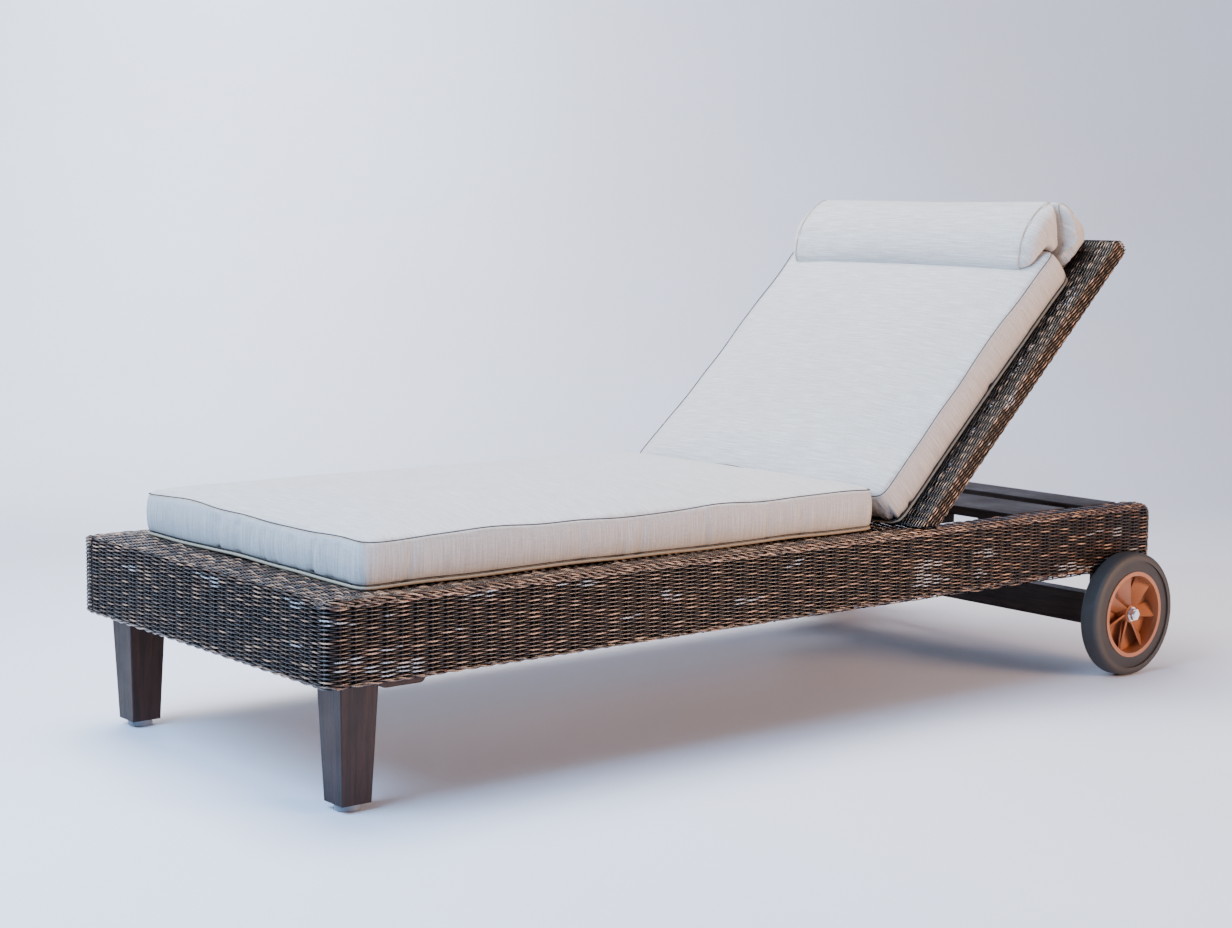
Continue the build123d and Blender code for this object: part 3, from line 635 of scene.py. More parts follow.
def weave(
    weaving, band, rows, starts, ends, along="path", phase=0.0, seed=1, detail=4, sides=5,
    spacing=None, halfWidth=None, worn=None, toneShift=0.0, inset=None, wobble=1.0, lastStake=None,
):
    # rows of weavers over and under their stakes, on a band. rows are places across the weave
    random = np.random.default_rng(seed)
    spacing = spacing or weaveLook["stakeSpacing"]
    halfWidth = halfWidth or weaveLook["halfWidth"]
    inset = weaveLook["inset"] if inset is None else inset
    rows, starts, ends = (np.asarray(x, float) * np.ones(len(rows)) for x in (rows, starts, ends))
    low, high = starts.min(), ends.max()
    count = max(3, int(round((high - low) / spacing * detail)) + 1)
    share = np.linspace(0, 1, count)[None, :]
    run = starts[:, None] + (ends - starts)[:, None] * share
    k = np.arange(len(rows))[:, None]
    pitch = abs(np.mean(np.diff(rows))) if len(rows) > 1 else 2 * halfWidth

    stakeNoise = random.normal(0, 0.055, 4096)
    turns = (run - phase) / spacing
    turns = turns + np.interp(turns, np.arange(4096) - 2048, stakeNoise)
    over = np.cos(math.pi * (turns + k))
    waves = sum(
        amount * np.sin(2 * math.pi * (run / size + random.uniform(0, 1)) + k * lean)
        for amount, size, lean in ((0.10, 0.21, 0.15), (0.09, 0.085, 0.4), (0.06, 0.043, 0.9))
    )
    across = rows[:, None] + wobble * pitch * (waves + random.normal(0, 0.05, (len(rows), 1)))

    u, c = (run, across) if along == "path" else (across, run)
    world, outward, pathWay, axisWay = band.sample(u, c)
    wide = axisWay if along == "path" else pathWay
    dash = np.floor((turns + k) / 2 + 0.5).astype(int)
    table = random.random((len(rows), 4096))
    dashTone = np.take_along_axis(table, dash + 2048, 1)
    rise = weaveLook["wave"] * over * (0.85 + 0.3 * dashTone) - inset
    centre = world + outward * rise[..., None]
    rowTone = random.uniform(-0.12, 0.12, (len(rows), 1))
    # tone differs at random by dash and row; its (0.5 + 0.5 * over) factor is a painted highlight on the
    # raised part of each dash
    tone = np.clip(0.06 + 0.98 * dashTone**1.5 * (0.5 + 0.5 * over) + rowTone + toneShift, 0, 1.1)
    if worn is not None:
        flake = np.take_along_axis(
            np.random.default_rng(seed + 7).random((len(rows), 4096)), dash + 2048, 1,
        )
        wornness = np.where(
            worn(run, rows[:, None] - rows.min()) * (0.35 + flake) > weaveLook["wornShare"], 1.0, 0.0,
        )
        wornness = wornness * smoothStep(-0.1, 0.5, over)
    else:
        wornness = np.zeros_like(tone)
    size = np.full(tone.shape, halfWidth) * (1 + random.normal(0, 0.06, (len(rows), 1)))
    thick = np.full(tone.shape, weaveLook["halfThickness"])
    # painted shade: lift 0.5 + 0.5 * over darkens the sunken parts of each weaver
    weaving.tube(centre, wide, outward, size, thick, tone, wornness, 0.5 + 0.5 * over, sides)

    # stakes under the weavers, in painted shade: tone 0.02 and lift 0.2 draw them near black
    lastStake = high if lastStake is None else lastStake
    stakeAt = np.arange(
        math.ceil((low - phase) / spacing), math.floor((lastStake - phase) / spacing) + 1,
    ) * spacing + phase
    if len(stakeAt):
        acrossAt = np.linspace(
            rows.min() - pitch / 2, rows.max() + pitch / 2,
            7 if abs(rows.max() - rows.min()) > 0.05 else 4,
        )
        grid = np.meshgrid(stakeAt, acrossAt, indexing="ij")
        u, c = (grid[0], grid[1]) if along == "path" else (grid[1], grid[0])
        world, outward, pathWay, axisWay = band.sample(u, c)
        centre = world - outward * inset
        wide = pathWay if along == "path" else axisWay
        ones = np.ones(grid[0].shape)
        weaving.tube(
            centre, wide, outward, ones * 0.0026, ones * 0.0010, ones * 0.02, ones * 0, ones * 0.2, 4,
        )


def shadeSheet(weaving, band, uRange, cRange, depth, steps=24):
    # a sheet in painted shade behind a weave: its zero lift draws it in the painted shade colour, so that
    # nothing shines through its gaps
    u, c = np.meshgrid(np.linspace(*uRange, steps), np.linspace(*cRange, 3), indexing="ij")
    world, outward, _, _ = band.sample(u, c)
    points = (world - outward * depth).reshape(-1, 3)
    index = np.arange(steps * 3).reshape(steps, 3)
    quads = np.stack([index[:-1, :-1], index[1:, :-1], index[1:, 1:], index[:-1, 1:]], -1).reshape(-1, 4)
    weaving.add(points, quads, *np.zeros((3, len(points))))


def rope(weaving, line, out, wide, radius, strand, pitch, strands=2, seed=3, tone=0.55, flat=0.6):
    # strands wound about a line: an edge border. line, out and wide are (points, 3)
    random = np.random.default_rng(seed)
    at = np.concatenate([[0], np.cumsum(np.linalg.norm(np.diff(line, axis=0), axis=1))])
    count = int(at[-1] / pitch * 9) + 2
    even = np.linspace(0, at[-1], count)
    pick = lambda table: np.stack([np.interp(even, at, table[:, k]) for k in range(3)], 1)
    base, outward, across = pick(line), pick(out), pick(wide)
    jitter = np.interp(
        even, np.arange(0, at[-1] + pitch, pitch),
        random.normal(0, 0.5, len(np.arange(0, at[-1] + pitch, pitch))),
    )
    rows, lifts = [], []
    for i in range(strands):
        angle = 2 * math.pi * (even / pitch + i / strands) + jitter
        # painted shade: lift is highest where a winding comes outward and lowest where it turns in
        lifts.append(0.55 + 0.45 * np.sin(angle))
        rows.append(
            base + across * (np.cos(angle) * radius)[:, None] + outward * (
                np.sin(angle) * radius * flat
            )[:, None]
        )
    centre = np.array(rows)
    shape = centre.shape[:2]
    tones = np.clip(
        tone + np.array(
            [random.normal(0, 0.16, count // 9 + 2)[(np.arange(count) // 9)] for _ in range(strands)]
        ),
        0, 1.05,
    )
    spread = lambda table: np.broadcast_to(table, centre.shape)
    weaving.tube(
        centre, spread(across), spread(outward), np.full(shape, strand), np.full(shape, strand * 0.8),
        tones, np.zeros(shape), np.array(lifts), 6,
    )


def rowsBetween(low, high, pitch):
    count = max(1, int(round((high - low) / pitch)))
    edge = (high - low) / count / 2
    return np.linspace(low + edge, high - edge, count)


footX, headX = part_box("wicker_side_left")[0].x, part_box("wicker_side_left")[1].x
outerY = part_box("wicker_side_right")[1].y
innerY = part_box("wicker_side_right")[0].y
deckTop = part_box("wicker_deck")[1].z
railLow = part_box("wicker_foot")[0].z
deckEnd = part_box("wicker_deck")[1].x
railLowHead = railLow + 0.011
railLook = {
    "cornerRadius": 0.024, "headRadius": 0.030, "topRadius": 0.010, "topDrop": 0.006, "stakePhase": 0.0125,
}


def lowAt(x):
    return railLow + (railLowHead - railLow) * (x - footX) / (headX - footX)


def buildRail(side, label):
    pitch = weaveLook["rowPitch"]
    flatPlace = lambda a, b, c: np.stack([a, side * b, c], -1)
    plan = Band(
        [(footX, innerY), (footX, outerY), (headX, outerY)], [railLook["cornerRadius"]], flatPlace
    )
    # outer face, from the foot end round the corner to the head end
    outer = Weaving(f"wicker_side_{label}_outer")
    # one phase for the foot face and the side keeps their stakes in step
    bottom, top = railLow + 0.004, deckTop - railLook["topDrop"]
    rows = rowsBetween(bottom, top, pitch)
    straightEnd = headX - railLook["headRadius"]
    lift = np.clip(rows - (deckTop - railLook["headRadius"]), 0, None)
    endX = straightEnd + np.sqrt(np.clip(railLook["headRadius"] ** 2 - lift**2, 0, None))
    shorter = plan.length - (headX - endX) - 0.003
    worn = wornField(np.random.default_rng(11 if side < 0 else 12), plan.length, top - bottom, 24)
    weave(
        outer, plan, rows, 0.0, shorter, phase=(outerY - innerY) - railLook["stakePhase"], seed=20 + side,
        worn=worn,
    )
    outer.finish("base", [f"wicker_side_{label}"])

    # top, wrapped over the rounded head end and down its face
    shell = Weaving(f"wicker_side_{label}_top")
    profile = Band(
        [(footX + 0.03, deckTop), (headX, deckTop), (headX, railLowHead)], [railLook["headRadius"]],
        lambda a, b, c: np.stack([a, side * c, b], -1),
    )
    rows = rowsBetween(innerY + 0.001, outerY - 0.004, pitch)
    weave(shell, profile, rows, 0.0, profile.length - 0.002, seed=30 + side, toneShift=0.02)

    # inner face: fine in the open bay, coarser below the deck; then the underside
    inside = Band(
        [(headX, innerY), (footX + 0.04, innerY)], [], lambda a, b, c: np.stack([a, side * b, c], -1)
    )
    bay = headX - deckEnd
    rows = rowsBetween(railLowHead, deckTop - 0.003, pitch)
    weave(shell, inside, rows, 0.002, bay, seed=40 + side)
    rows = rowsBetween(railLowHead, deckTop - 0.012, 0.0062)
    weave(
        shell, inside, rows, bay, inside.length - 0.002, seed=50 + side, detail=3, sides=4,
        halfWidth=0.0034,
    )
    under = Band(
        [(headX, railLowHead), (footX + 0.02, railLow)], [], lambda a, b, c: np.stack([a, side * c, b], -1)
    )
    rows = rowsBetween(innerY, outerY - 0.002, 0.0055)
    weave(shell, under, rows, 0.002, under.length, seed=60 + side, detail=3, sides=4, halfWidth=0.0030)

    # borders: a braid along the top edge, a wound rope along the bottom edge
    length = plan.length
    at = np.linspace(0.0, length - railLook["headRadius"], 900)
    height = np.full(900, deckTop - 0.0055)
    world, outward, _, axisWay = plan.sample(at, height)
    upright = np.broadcast_to(axisWay, outward.shape)
    rope(shell, world - outward * 0.0045, outward, upright, 0.0026, 0.0016, 0.056, 3, 70 + side, 0.62)
    rope(
        shell, world - outward * 0.0030 - upright * 0.0052, outward, upright, 0.0019, 0.0015, 0.042, 2,
        74 + side, 0.66,
    )
    arc = np.linspace(0, math.pi / 2, 24)
    centreX, centreZ = headX - railLook["headRadius"], deckTop - railLook["headRadius"]
    reach = railLook["headRadius"] - 0.005
    curveX = np.concatenate([[centreX - 0.01], centreX + reach * np.sin(arc), [headX - 0.005]])
    curveZ = np.concatenate([[deckTop - 0.005], centreZ + reach * np.cos(arc), [railLowHead + 0.004]])
    line = np.stack([curveX, np.full(len(curveX), side * (outerY - 0.004)), curveZ], 1)
    outward = np.tile([0.0, side, 0.0], (len(line), 1))
    sideways = np.gradient(line, axis=0)
    sideways /= np.linalg.norm(sideways, axis=1)[:, None]
    rope(shell, line, outward, np.cross(sideways, outward), 0.0026, 0.0016, 0.05, 3, 78 + side, 0.6)
    at = np.linspace(0.0, length, 900)
    world, outward, _, axisWay = plan.sample(at, np.zeros(900))
    world[:, 2] = lowAt(world[:, 0]) + 0.0035
    upright = np.broadcast_to(axisWay, outward.shape)
    rope(shell, world - outward * 0.004, outward, upright, 0.0021, 0.0019, 0.060, 2, 82 + side, 0.5)
    shell.finish("base", [])


for side, label in ((-1, "left"), (1, "right")):
    buildRail(side, label)


def buildFootAndDeck():
    # foot apron, its rounded top edge and the deck, rows running across
    pitch = weaveLook["rowPitch"]
    place = lambda a, b, c: np.stack([a, c, b], -1)
    visibleEnd = -0.862
    section = Band(
        [(footX, railLow), (footX, deckTop), (visibleEnd, deckTop)], [railLook["topRadius"]], place,
    )
    apron = Weaving("wicker_foot_apron")
    faceTop = deckTop - railLook["topDrop"] - railLow
    rows = rowsBetween(0.004, faceTop, pitch)
    phase = innerY + railLook["stakePhase"]
    spots = wornField(np.random.default_rng(5), 0.7, 0.13, 4)
    worn = lambda w, v: spots(w + 0.35, v)
    weave(apron, section, rows, -innerY, innerY, along="axis", phase=phase, seed=101, worn=worn)
    rows = rowsBetween(faceTop + 0.001, section.length, pitch * 0.94)
    reach = outerY - 0.012
    weave(
        apron, section, rows, -reach, reach, along="axis", phase=phase, seed=102, toneShift=0.06,
        wobble=1.7,
    )
    line = np.array([[footX + 0.004, y, railLow + 0.0035] for y in np.linspace(-innerY, innerY, 300)])
    outward = np.tile([-1.0, 0, 0], (300, 1))
    upright = np.tile([0, 0, 1.0], (300, 1))
    rope(apron, line, outward, upright, 0.0021, 0.0019, 0.060, 2, 103, 0.5)
    inner = Band(
        [(footX + 0.04, deckTop - 0.01), (footX + 0.04, railLow), (footX, railLow)], [0.004], place,
    )
    rows = rowsBetween(0.002, inner.length - 0.004, 0.006)
    weave(apron, inner, rows, -innerY, innerY, along="axis", seed=104, detail=3, sides=4, halfWidth=0.0032)
    apron.finish("base", ["wicker_foot"])

    deck = Weaving("wicker_deck_weave")
    flat = Band([(visibleEnd, deckTop), (deckEnd, deckTop)], [], place)
    rows = rowsBetween(0, flat.length, 0.0085)
    weave(
        deck, flat, rows, -innerY, innerY, along="axis", phase=phase, seed=110, detail=3, sides=4,
        halfWidth=0.0048,
    )
    whole = Band([(footX + 0.04, deckTop), (deckEnd, deckTop)], [], place)
    shadeSheet(deck, whole, (0, whole.length), (-innerY, innerY), 0.0066)
    deck.finish("base", ["wicker_deck"])


buildFootAndDeck()

hingeJoint = next(joint for joint in frame["joints"] if joint["name"] == "backrest_hinge")
hinge = Vector(hingeJoint["pos_m"])
restAngle = math.radians(hingeJoint["range_deg"][1])
cosRest, sinRest = math.cos(restAngle), math.sin(restAngle)


def backPlace(a, b, c):
    # backrest coordinates (s, t, y) to the row frame
    return np.stack([hinge.x + a * cosRest - b * sinRest, c, hinge.z + a * sinRest + b * cosRest], -1)


def footCut(t):
    return (-(hinge.z - deckTop - 0.0025) - t * cosRest) / sinRest


panelLook = {
    "length": 0.720, "half": 0.020, "outer": 0.408, "inner": 0.368, "edge": 0.006, "corner": 0.016,
    "stakeSpacing": 0.019, "stakePhase": 0.012, "stripStart": 0.322, "headLap": 0.045,
}


def buildPanel():
    pitch = weaveLook["rowPitch"]
    length, half, outer, inner = (panelLook[x] for x in ("length", "half", "outer", "inner"))
    for side, label in ((-1, "left"), (1, "right")):
        stile = Weaving(f"wicker_stile_{label}_weave")
        # a section in (y, t), drawn out along s
        ring = Band(
            [(inner, -half), (outer, -half), (outer, half), (inner, half)], [panelLook["edge"]] * 2,
            lambda a, b, c: backPlace(c, b, side * a), flip=True,
        )
        rows = rowsBetween(0.002, ring.length - 0.002, pitch)
        levels = np.interp(rows, ring.at, ring.path[:, 1])
        starts = footCut(levels) + 0.003
        drop = np.clip(np.abs(levels) - (half - panelLook["corner"]), 0, panelLook["corner"])
        ends = length - panelLook["corner"] + np.sqrt(
            np.clip(panelLook["corner"] ** 2 - drop**2, 0, None)
        ) - 0.002
        worn = wornField(np.random.default_rng(31 + side), 0.7, ring.length, 3)
        weave(
            stile, ring, rows, starts, ends, along="axis", seed=130 + side, toneShift=0.04, worn=worn,
            phase=panelLook["stakePhase"], spacing=panelLook["stakeSpacing"],
            lastStake=length - panelLook["corner"] - 0.002,
        )
        innerFace = Band(
            [(inner, half), (inner, -half)], [], lambda a, b, c: backPlace(c, b, side * a), flip=True,
        )
        rows = rowsBetween(0.006, innerFace.length, 0.0045)
        weave(
            stile, innerFace, rows, footCut(0) + 0.02, length - 0.04, along="axis", seed=140 + side,
            detail=3, sides=4, halfWidth=0.0024,
        )
        # wound borders close the foot of the panel
        windings = (
            ((0.004, -0.018), 0.0050), ((footCut(0.0) + 0.004, 0.0), 0.0042), (
                (footCut(0.014) + 0.003, 0.014), 0.0040,
            ),
        )
        for number, ((s, t), wind) in enumerate(windings):
            ys = np.linspace(inner, outer - 0.003, 30) * side
            line = backPlace(np.full(30, s), np.full(30, t), ys)
            outward = np.tile([-cosRest, 0.0, -sinRest], (30, 1))
            across = np.tile([-sinRest, 0.0, cosRest], (30, 1))
            rope(stile, line, outward, across, wind * 0.55, wind * 0.5, 0.030, 3, 150 + number, 0.5)
        stile.finish("backrest", [f"wicker_stile_{label}"])

    # head end: rows across, wrapped round the top rail
    head = Weaving("wicker_back_head")
    lap, stripStart = panelLook["headLap"], panelLook["stripStart"]
    wrap = Band(
        [
            (length - lap, half), (length, half), (length, -half), (length - lap, -half),
        ], [panelLook["corner"]] * 2,
        lambda a, b, c: backPlace(a, b, c),
    )
    rows = rowsBetween(0.002, wrap.length - 0.002, pitch)
    weave(head, wrap, rows, -stripStart, stripStart, along="axis", seed=160, toneShift=0.02)
    for side in (-1, 1):
        rows = rowsBetween(stripStart, outer - 0.004, pitch)
        starts = np.where(rows > inner, lap - 0.020, 0.002)
        weave(
            head, wrap, side * rows, starts, wrap.length - starts, seed=162 + side, toneShift=0.03,
            inset=0.0026,
        )
    shadeSheet(head, wrap, (lap * 0.6, wrap.length - lap * 0.6), (-outer + 0.005, outer - 0.005), 0.0055)
    innerLip = Band(
        [(length - lap, -half), (length - lap, half - 0.006)], [], lambda a, b, c: backPlace(a, b, c),
    )
    rows = rowsBetween(0.001, innerLip.length, 0.0045)
    weave(head, innerLip, rows, -inner, inner, along="axis", seed=166, detail=3, sides=4, halfWidth=0.0024)
    head.finish("backrest", ["wicker_back_top"])

    # the skin between the stiles, seen from both sides
    skin = Weaving("wicker_back_skin")
    start = footCut(half) + 0.004
    front = Band([(start, half), (length - 0.042, half)], [], lambda a, b, c: backPlace(a, b, c))
    for side in (-1, 1):
        rows = side * rowsBetween(stripStart, inner + 0.003, pitch)
        weave(
            skin, front, rows, 0.0, front.length, seed=170 + side, inset=0.0026, toneShift=-0.05,
            phase=panelLook["stakePhase"], spacing=panelLook["stakeSpacing"],
        )
    shadeSheet(skin, front, (0, front.length), (-inner, inner), 0.0042)
    behind = Band(
        [(start, 0.0148), (length - 0.042, 0.0148)], [], lambda a, b, c: backPlace(a, b, c), flip=True,
    )
    rows = rowsBetween(0, behind.length, 0.0052)
    weave(
        skin, behind, rows, -inner, inner, along="axis", seed=176, sides=4, halfWidth=0.0028,
        inset=-0.0002,
    )
    skin.finish("backrest", ["wicker_back"])


buildPanel()
print("wicker woven")

# ---- cushions

cushionLook = {"cell": 0.010, "pressure": 4.0, "cap": 0.014, "frames": 20, "seamDepth": 0.0022}
clothValues = {"quality": 5, "mass": 0.003, "stretch": 18.0, "shear": 10.8, "bend": 1.2}


def boxGrid(lengths, counts, radius, pinch, crown, pinchEnds, extra):
    # a boxed cushion as a closed grid: rounded plan, sides pulled in, faces crowned;
    # its points are x length, y width and z thickness from 0, and every corner gets cloth coordinates
    (lx, ly, lz), (nx, ny, nz) = lengths, counts

    def shape(a, b):
        # a and b run from -1 to 1 over the plan
        x, y = a * lx / 2, b * ly / 2
        dx, dy = np.abs(x) - (lx / 2 - radius), np.abs(y) - (ly / 2 - radius)
        corner = (dx > 0) & (dy > 0)
        reach = np.maximum(dx, dy)
        span = np.hypot(dx, dy) + 1e-12
        x = np.where(corner, np.sign(x) * (lx / 2 - radius + dx * reach / span), x)
        y = np.where(corner, np.sign(y) * (ly / 2 - radius + dy * reach / span), y)
        fall = lambda t: np.clip(1 - t**2, 0, 1)
        x = x - np.sign(a) * np.where(a < 0, pinchEnds[0], pinchEnds[1]) * np.abs(a) ** 8 * fall(b) ** 0.7
        y = y - np.sign(b) * pinch * np.abs(b) ** 8 * fall(a) ** 0.7
        return x, y

    a, b = np.meshgrid(np.linspace(-1, 1, nx + 1), np.linspace(-1, 1, ny + 1), indexing="ij")
    x, y = shape(a, b)
    gap = np.minimum((1 - np.abs(a)) * lx / 2, (1 - np.abs(b)) * ly / 2)
    dome = crown * (0.55 * (1 - np.exp(-gap / 0.032)) + 0.45 * np.sqrt((1 - a**2) * (1 - b**2)))
    dome = dome + extra((a + 1) * lx / 2, b)
    count = (nx + 1) * (ny + 1)
    top = np.stack([x, y, lz + dome], -1).reshape(-1, 3)
    bottom = np.stack([x, y, -0.08 * dome], -1).reshape(-1, 3)
    grid = np.arange(count).reshape(nx + 1, ny + 1)
    rim = np.concatenate([grid[:-1, 0], grid[-1, :-1], grid[:0:-1, -1], grid[0, :0:-1]])
    rimCount = len(rim)
    points = [top, bottom]
    rings = [rim + count]
    bulge = 0.004
    for k in range(1, nz):
        level = k / nz
        ring = top[rim].copy()
        centre = ring[:, :2] / np.maximum(
            np.hypot(ring[:, 0] / (lx / 2), ring[:, 1] / (ly / 2)), 1e-6,
        )[:, None]
        outward = np.stack(
            [np.clip(centre[:, 0] / (lx / 2), -1, 1) ** 7, np.clip(centre[:, 1] / (ly / 2), -1, 1) ** 7],
            1,
        )
        outward /= np.maximum(np.linalg.norm(outward, axis=1), 1e-6)[:, None]
        ring[:, :2] += outward * bulge * math.sin(math.pi * level)
        ring[:, 2] = bottom[rim][:, 2] * (1 - level) + top[rim][:, 2] * level
        rings.append(2 * count + (k - 1) * rimCount + np.arange(rimCount))
        points.append(ring)
    rings.append(rim)
    around = np.concatenate(
        [[0], np.cumsum(np.linalg.norm(np.diff(top[np.append(rim, rim[0])], axis=0), axis=1))]
    )
    face = np.stack([grid[:-1, :-1], grid[1:, :-1], grid[1:, 1:], grid[:-1, 1:]], -1).reshape(-1, 4)
    quads = [face, face[:, ::-1] + count]
    flatCloth = np.stack([y.ravel(), x.ravel(), 0 * x.ravel()], 1)
    cloth = [flatCloth[face], flatCloth[face[:, ::-1]] + 1.3]
    for k in range(nz):
        low, high = rings[k], rings[k + 1]
        following = np.roll(np.arange(rimCount), -1)
        quads.append(np.stack([low, low[following], high[following], high], -1))
        u0, u1 = k / nz * lz, (k + 1) / nz * lz
        stack = np.zeros((rimCount, 4, 3))
        stack[:, 0, 0] = stack[:, 1, 0] = u0
        stack[:, 2, 0] = stack[:, 3, 0] = u1
        stack[:, 0, 1] = stack[:, 3, 1] = around[:-1]
        stack[:, 1, 1] = stack[:, 2, 1] = around[1:]
        cloth.append(stack + 3.0)
    return np.concatenate(points), np.concatenate(quads), np.concatenate(cloth), {
        "top": rim, "bottom": rim + count, "rings": rings,
    }


def clothSwell(obj, pinned, cap, pressure):
    # blows the cover up with Cloth, holds the pinned points and limits how far any point moves
    start = readPoints(obj.data)
    group = obj.vertex_groups.new(name="held")
    group.add([int(i) for i in pinned], 1.0, "REPLACE")
    cloth = obj.modifiers.new("swell", "CLOTH")
    cloth.settings.quality = clothValues["quality"]
    cloth.settings.mass = clothValues["mass"]
    cloth.settings.tension_stiffness = clothValues["stretch"]
    cloth.settings.compression_stiffness = clothValues["stretch"]
    cloth.settings.shear_stiffness = clothValues["shear"]
    cloth.settings.bending_stiffness = clothValues["bend"]
    cloth.settings.use_pressure = True
    cloth.settings.uniform_pressure_force = pressure
    cloth.settings.effector_weights.gravity = 0
    cloth.settings.vertex_group_mass = "held"
    cloth.collision_settings.use_collision = False
    scene = bpy.context.scene
    for index in range(1, cushionLook["frames"] + 1):
        scene.frame_set(index)
    evaluated = obj.evaluated_get(bpy.context.evaluated_depsgraph_get())
    swollen = readPoints(evaluated.data)
    obj.modifiers.clear()
    obj.vertex_groups.clear()
    scene.frame_set(1)
    shift = swollen - start
    size = np.linalg.norm(shift, axis=1)
    size = np.where(np.isfinite(size), size, 0)
    shift = np.nan_to_num(shift) * np.minimum(1, cap / np.maximum(size, 1e-9))[:, None]
    setPoints(obj.data, start + shift)


def refine(obj):
    # one level of subdivision, applied
    surface = obj.modifiers.new("round", "SUBSURF")
    surface.levels = surface.render_levels = 1
    surface.boundary_smooth = "PRESERVE_CORNERS"
    evaluated = obj.evaluated_get(bpy.context.evaluated_depsgraph_get())
    mesh = bpy.data.meshes.new_from_object(evaluated)
    obj.modifiers.clear()
    old = obj.data
    obj.data = mesh
    bpy.data.meshes.remove(old)
    mesh.name = obj.name


def addCloth(obj, corners):
    attribute = obj.data.attributes.new("cloth", "FLOAT_VECTOR", "CORNER")
    attribute.data.foreach_set("vector", np.asarray(corners, np.float32).ravel())


def puckerShift(points, seam, random, count, depth, reach, along):
    # short folds that start at a seam line and die out away from it
    total = np.zeros(len(points))
    places = random.choice(len(seam), count, replace=False)
    for place in places:
        centre = seam[place]
        offset = points - centre
        alongSeam = offset @ along[place]
        distance = np.linalg.norm(offset - alongSeam[:, None] * along[place], axis=1)
        size = random.uniform(0.004, 0.009)
        total += depth * random.uniform(0.4, 1.0) * np.exp(-((alongSeam / size) ** 2)) * np.exp(
            -distance / (reach * random.uniform(0.5, 1.3))
        )
    return total


def lineTube(name, line, radius, material, wave=0.0):
    # a cord or a thread laid round a closed line of points
    line = np.concatenate([line, line[:1]])
    run = np.gradient(line, axis=0)
    run[0] = run[-1] = (line[1] - line[-2]) / 2
    run /= np.maximum(np.linalg.norm(run, axis=1), 1e-9)[:, None]
    helper = np.array([0.13, 0.31, 0.94])
    wide = np.cross(run, helper)
    wide /= np.linalg.norm(wide, axis=1)[:, None]
    out = np.cross(wide, run)
    size = radius * (1 + wave * np.sin(np.arange(len(line)) * 2.1 + 1))[None, :]
    points, quads = tubes(line[None], wide[None], out[None], size, size, 6)
    return makeObject(name, points, quads, material)


def relax(line, times):
    for _ in range(times):
        line = (np.roll(line, 1, 0) + 2 * line + np.roll(line, -1, 0)) / 4
    return line


def dense(line, step):
    line = np.concatenate([line, line[:1]])
    at = np.concatenate([[0], np.cumsum(np.linalg.norm(np.diff(line, axis=0), axis=1))])
    even = np.linspace(0, at[-1], int(at[-1] / step) + 1)
    return np.stack([np.interp(even, at, line[:, k]) for k in range(3)], 1)[:-1]


def vertexNormals(mesh):
    normals = np.zeros(len(mesh.vertices) * 3, np.float32)
    mesh.vertices.foreach_get("normal", normals)
    return normals.reshape(-1, 3).astype(float)


def nearestDistance(points, line):
    # distance from each point to a dense line, and the nearest place on it
    best = np.full(len(points), 1e9)
    where = np.zeros(len(points), int)
    for start in range(0, len(line), 64):
        part = line[start:start + 64]
        gap = np.linalg.norm(points[:, None, :] - part[None], axis=2)
        local = gap.argmin(1)
        value = gap[np.arange(len(points)), local]
        closer = value < best
        best[closer] = value[closer]
        where[closer] = local[closer] + start
    return best, where


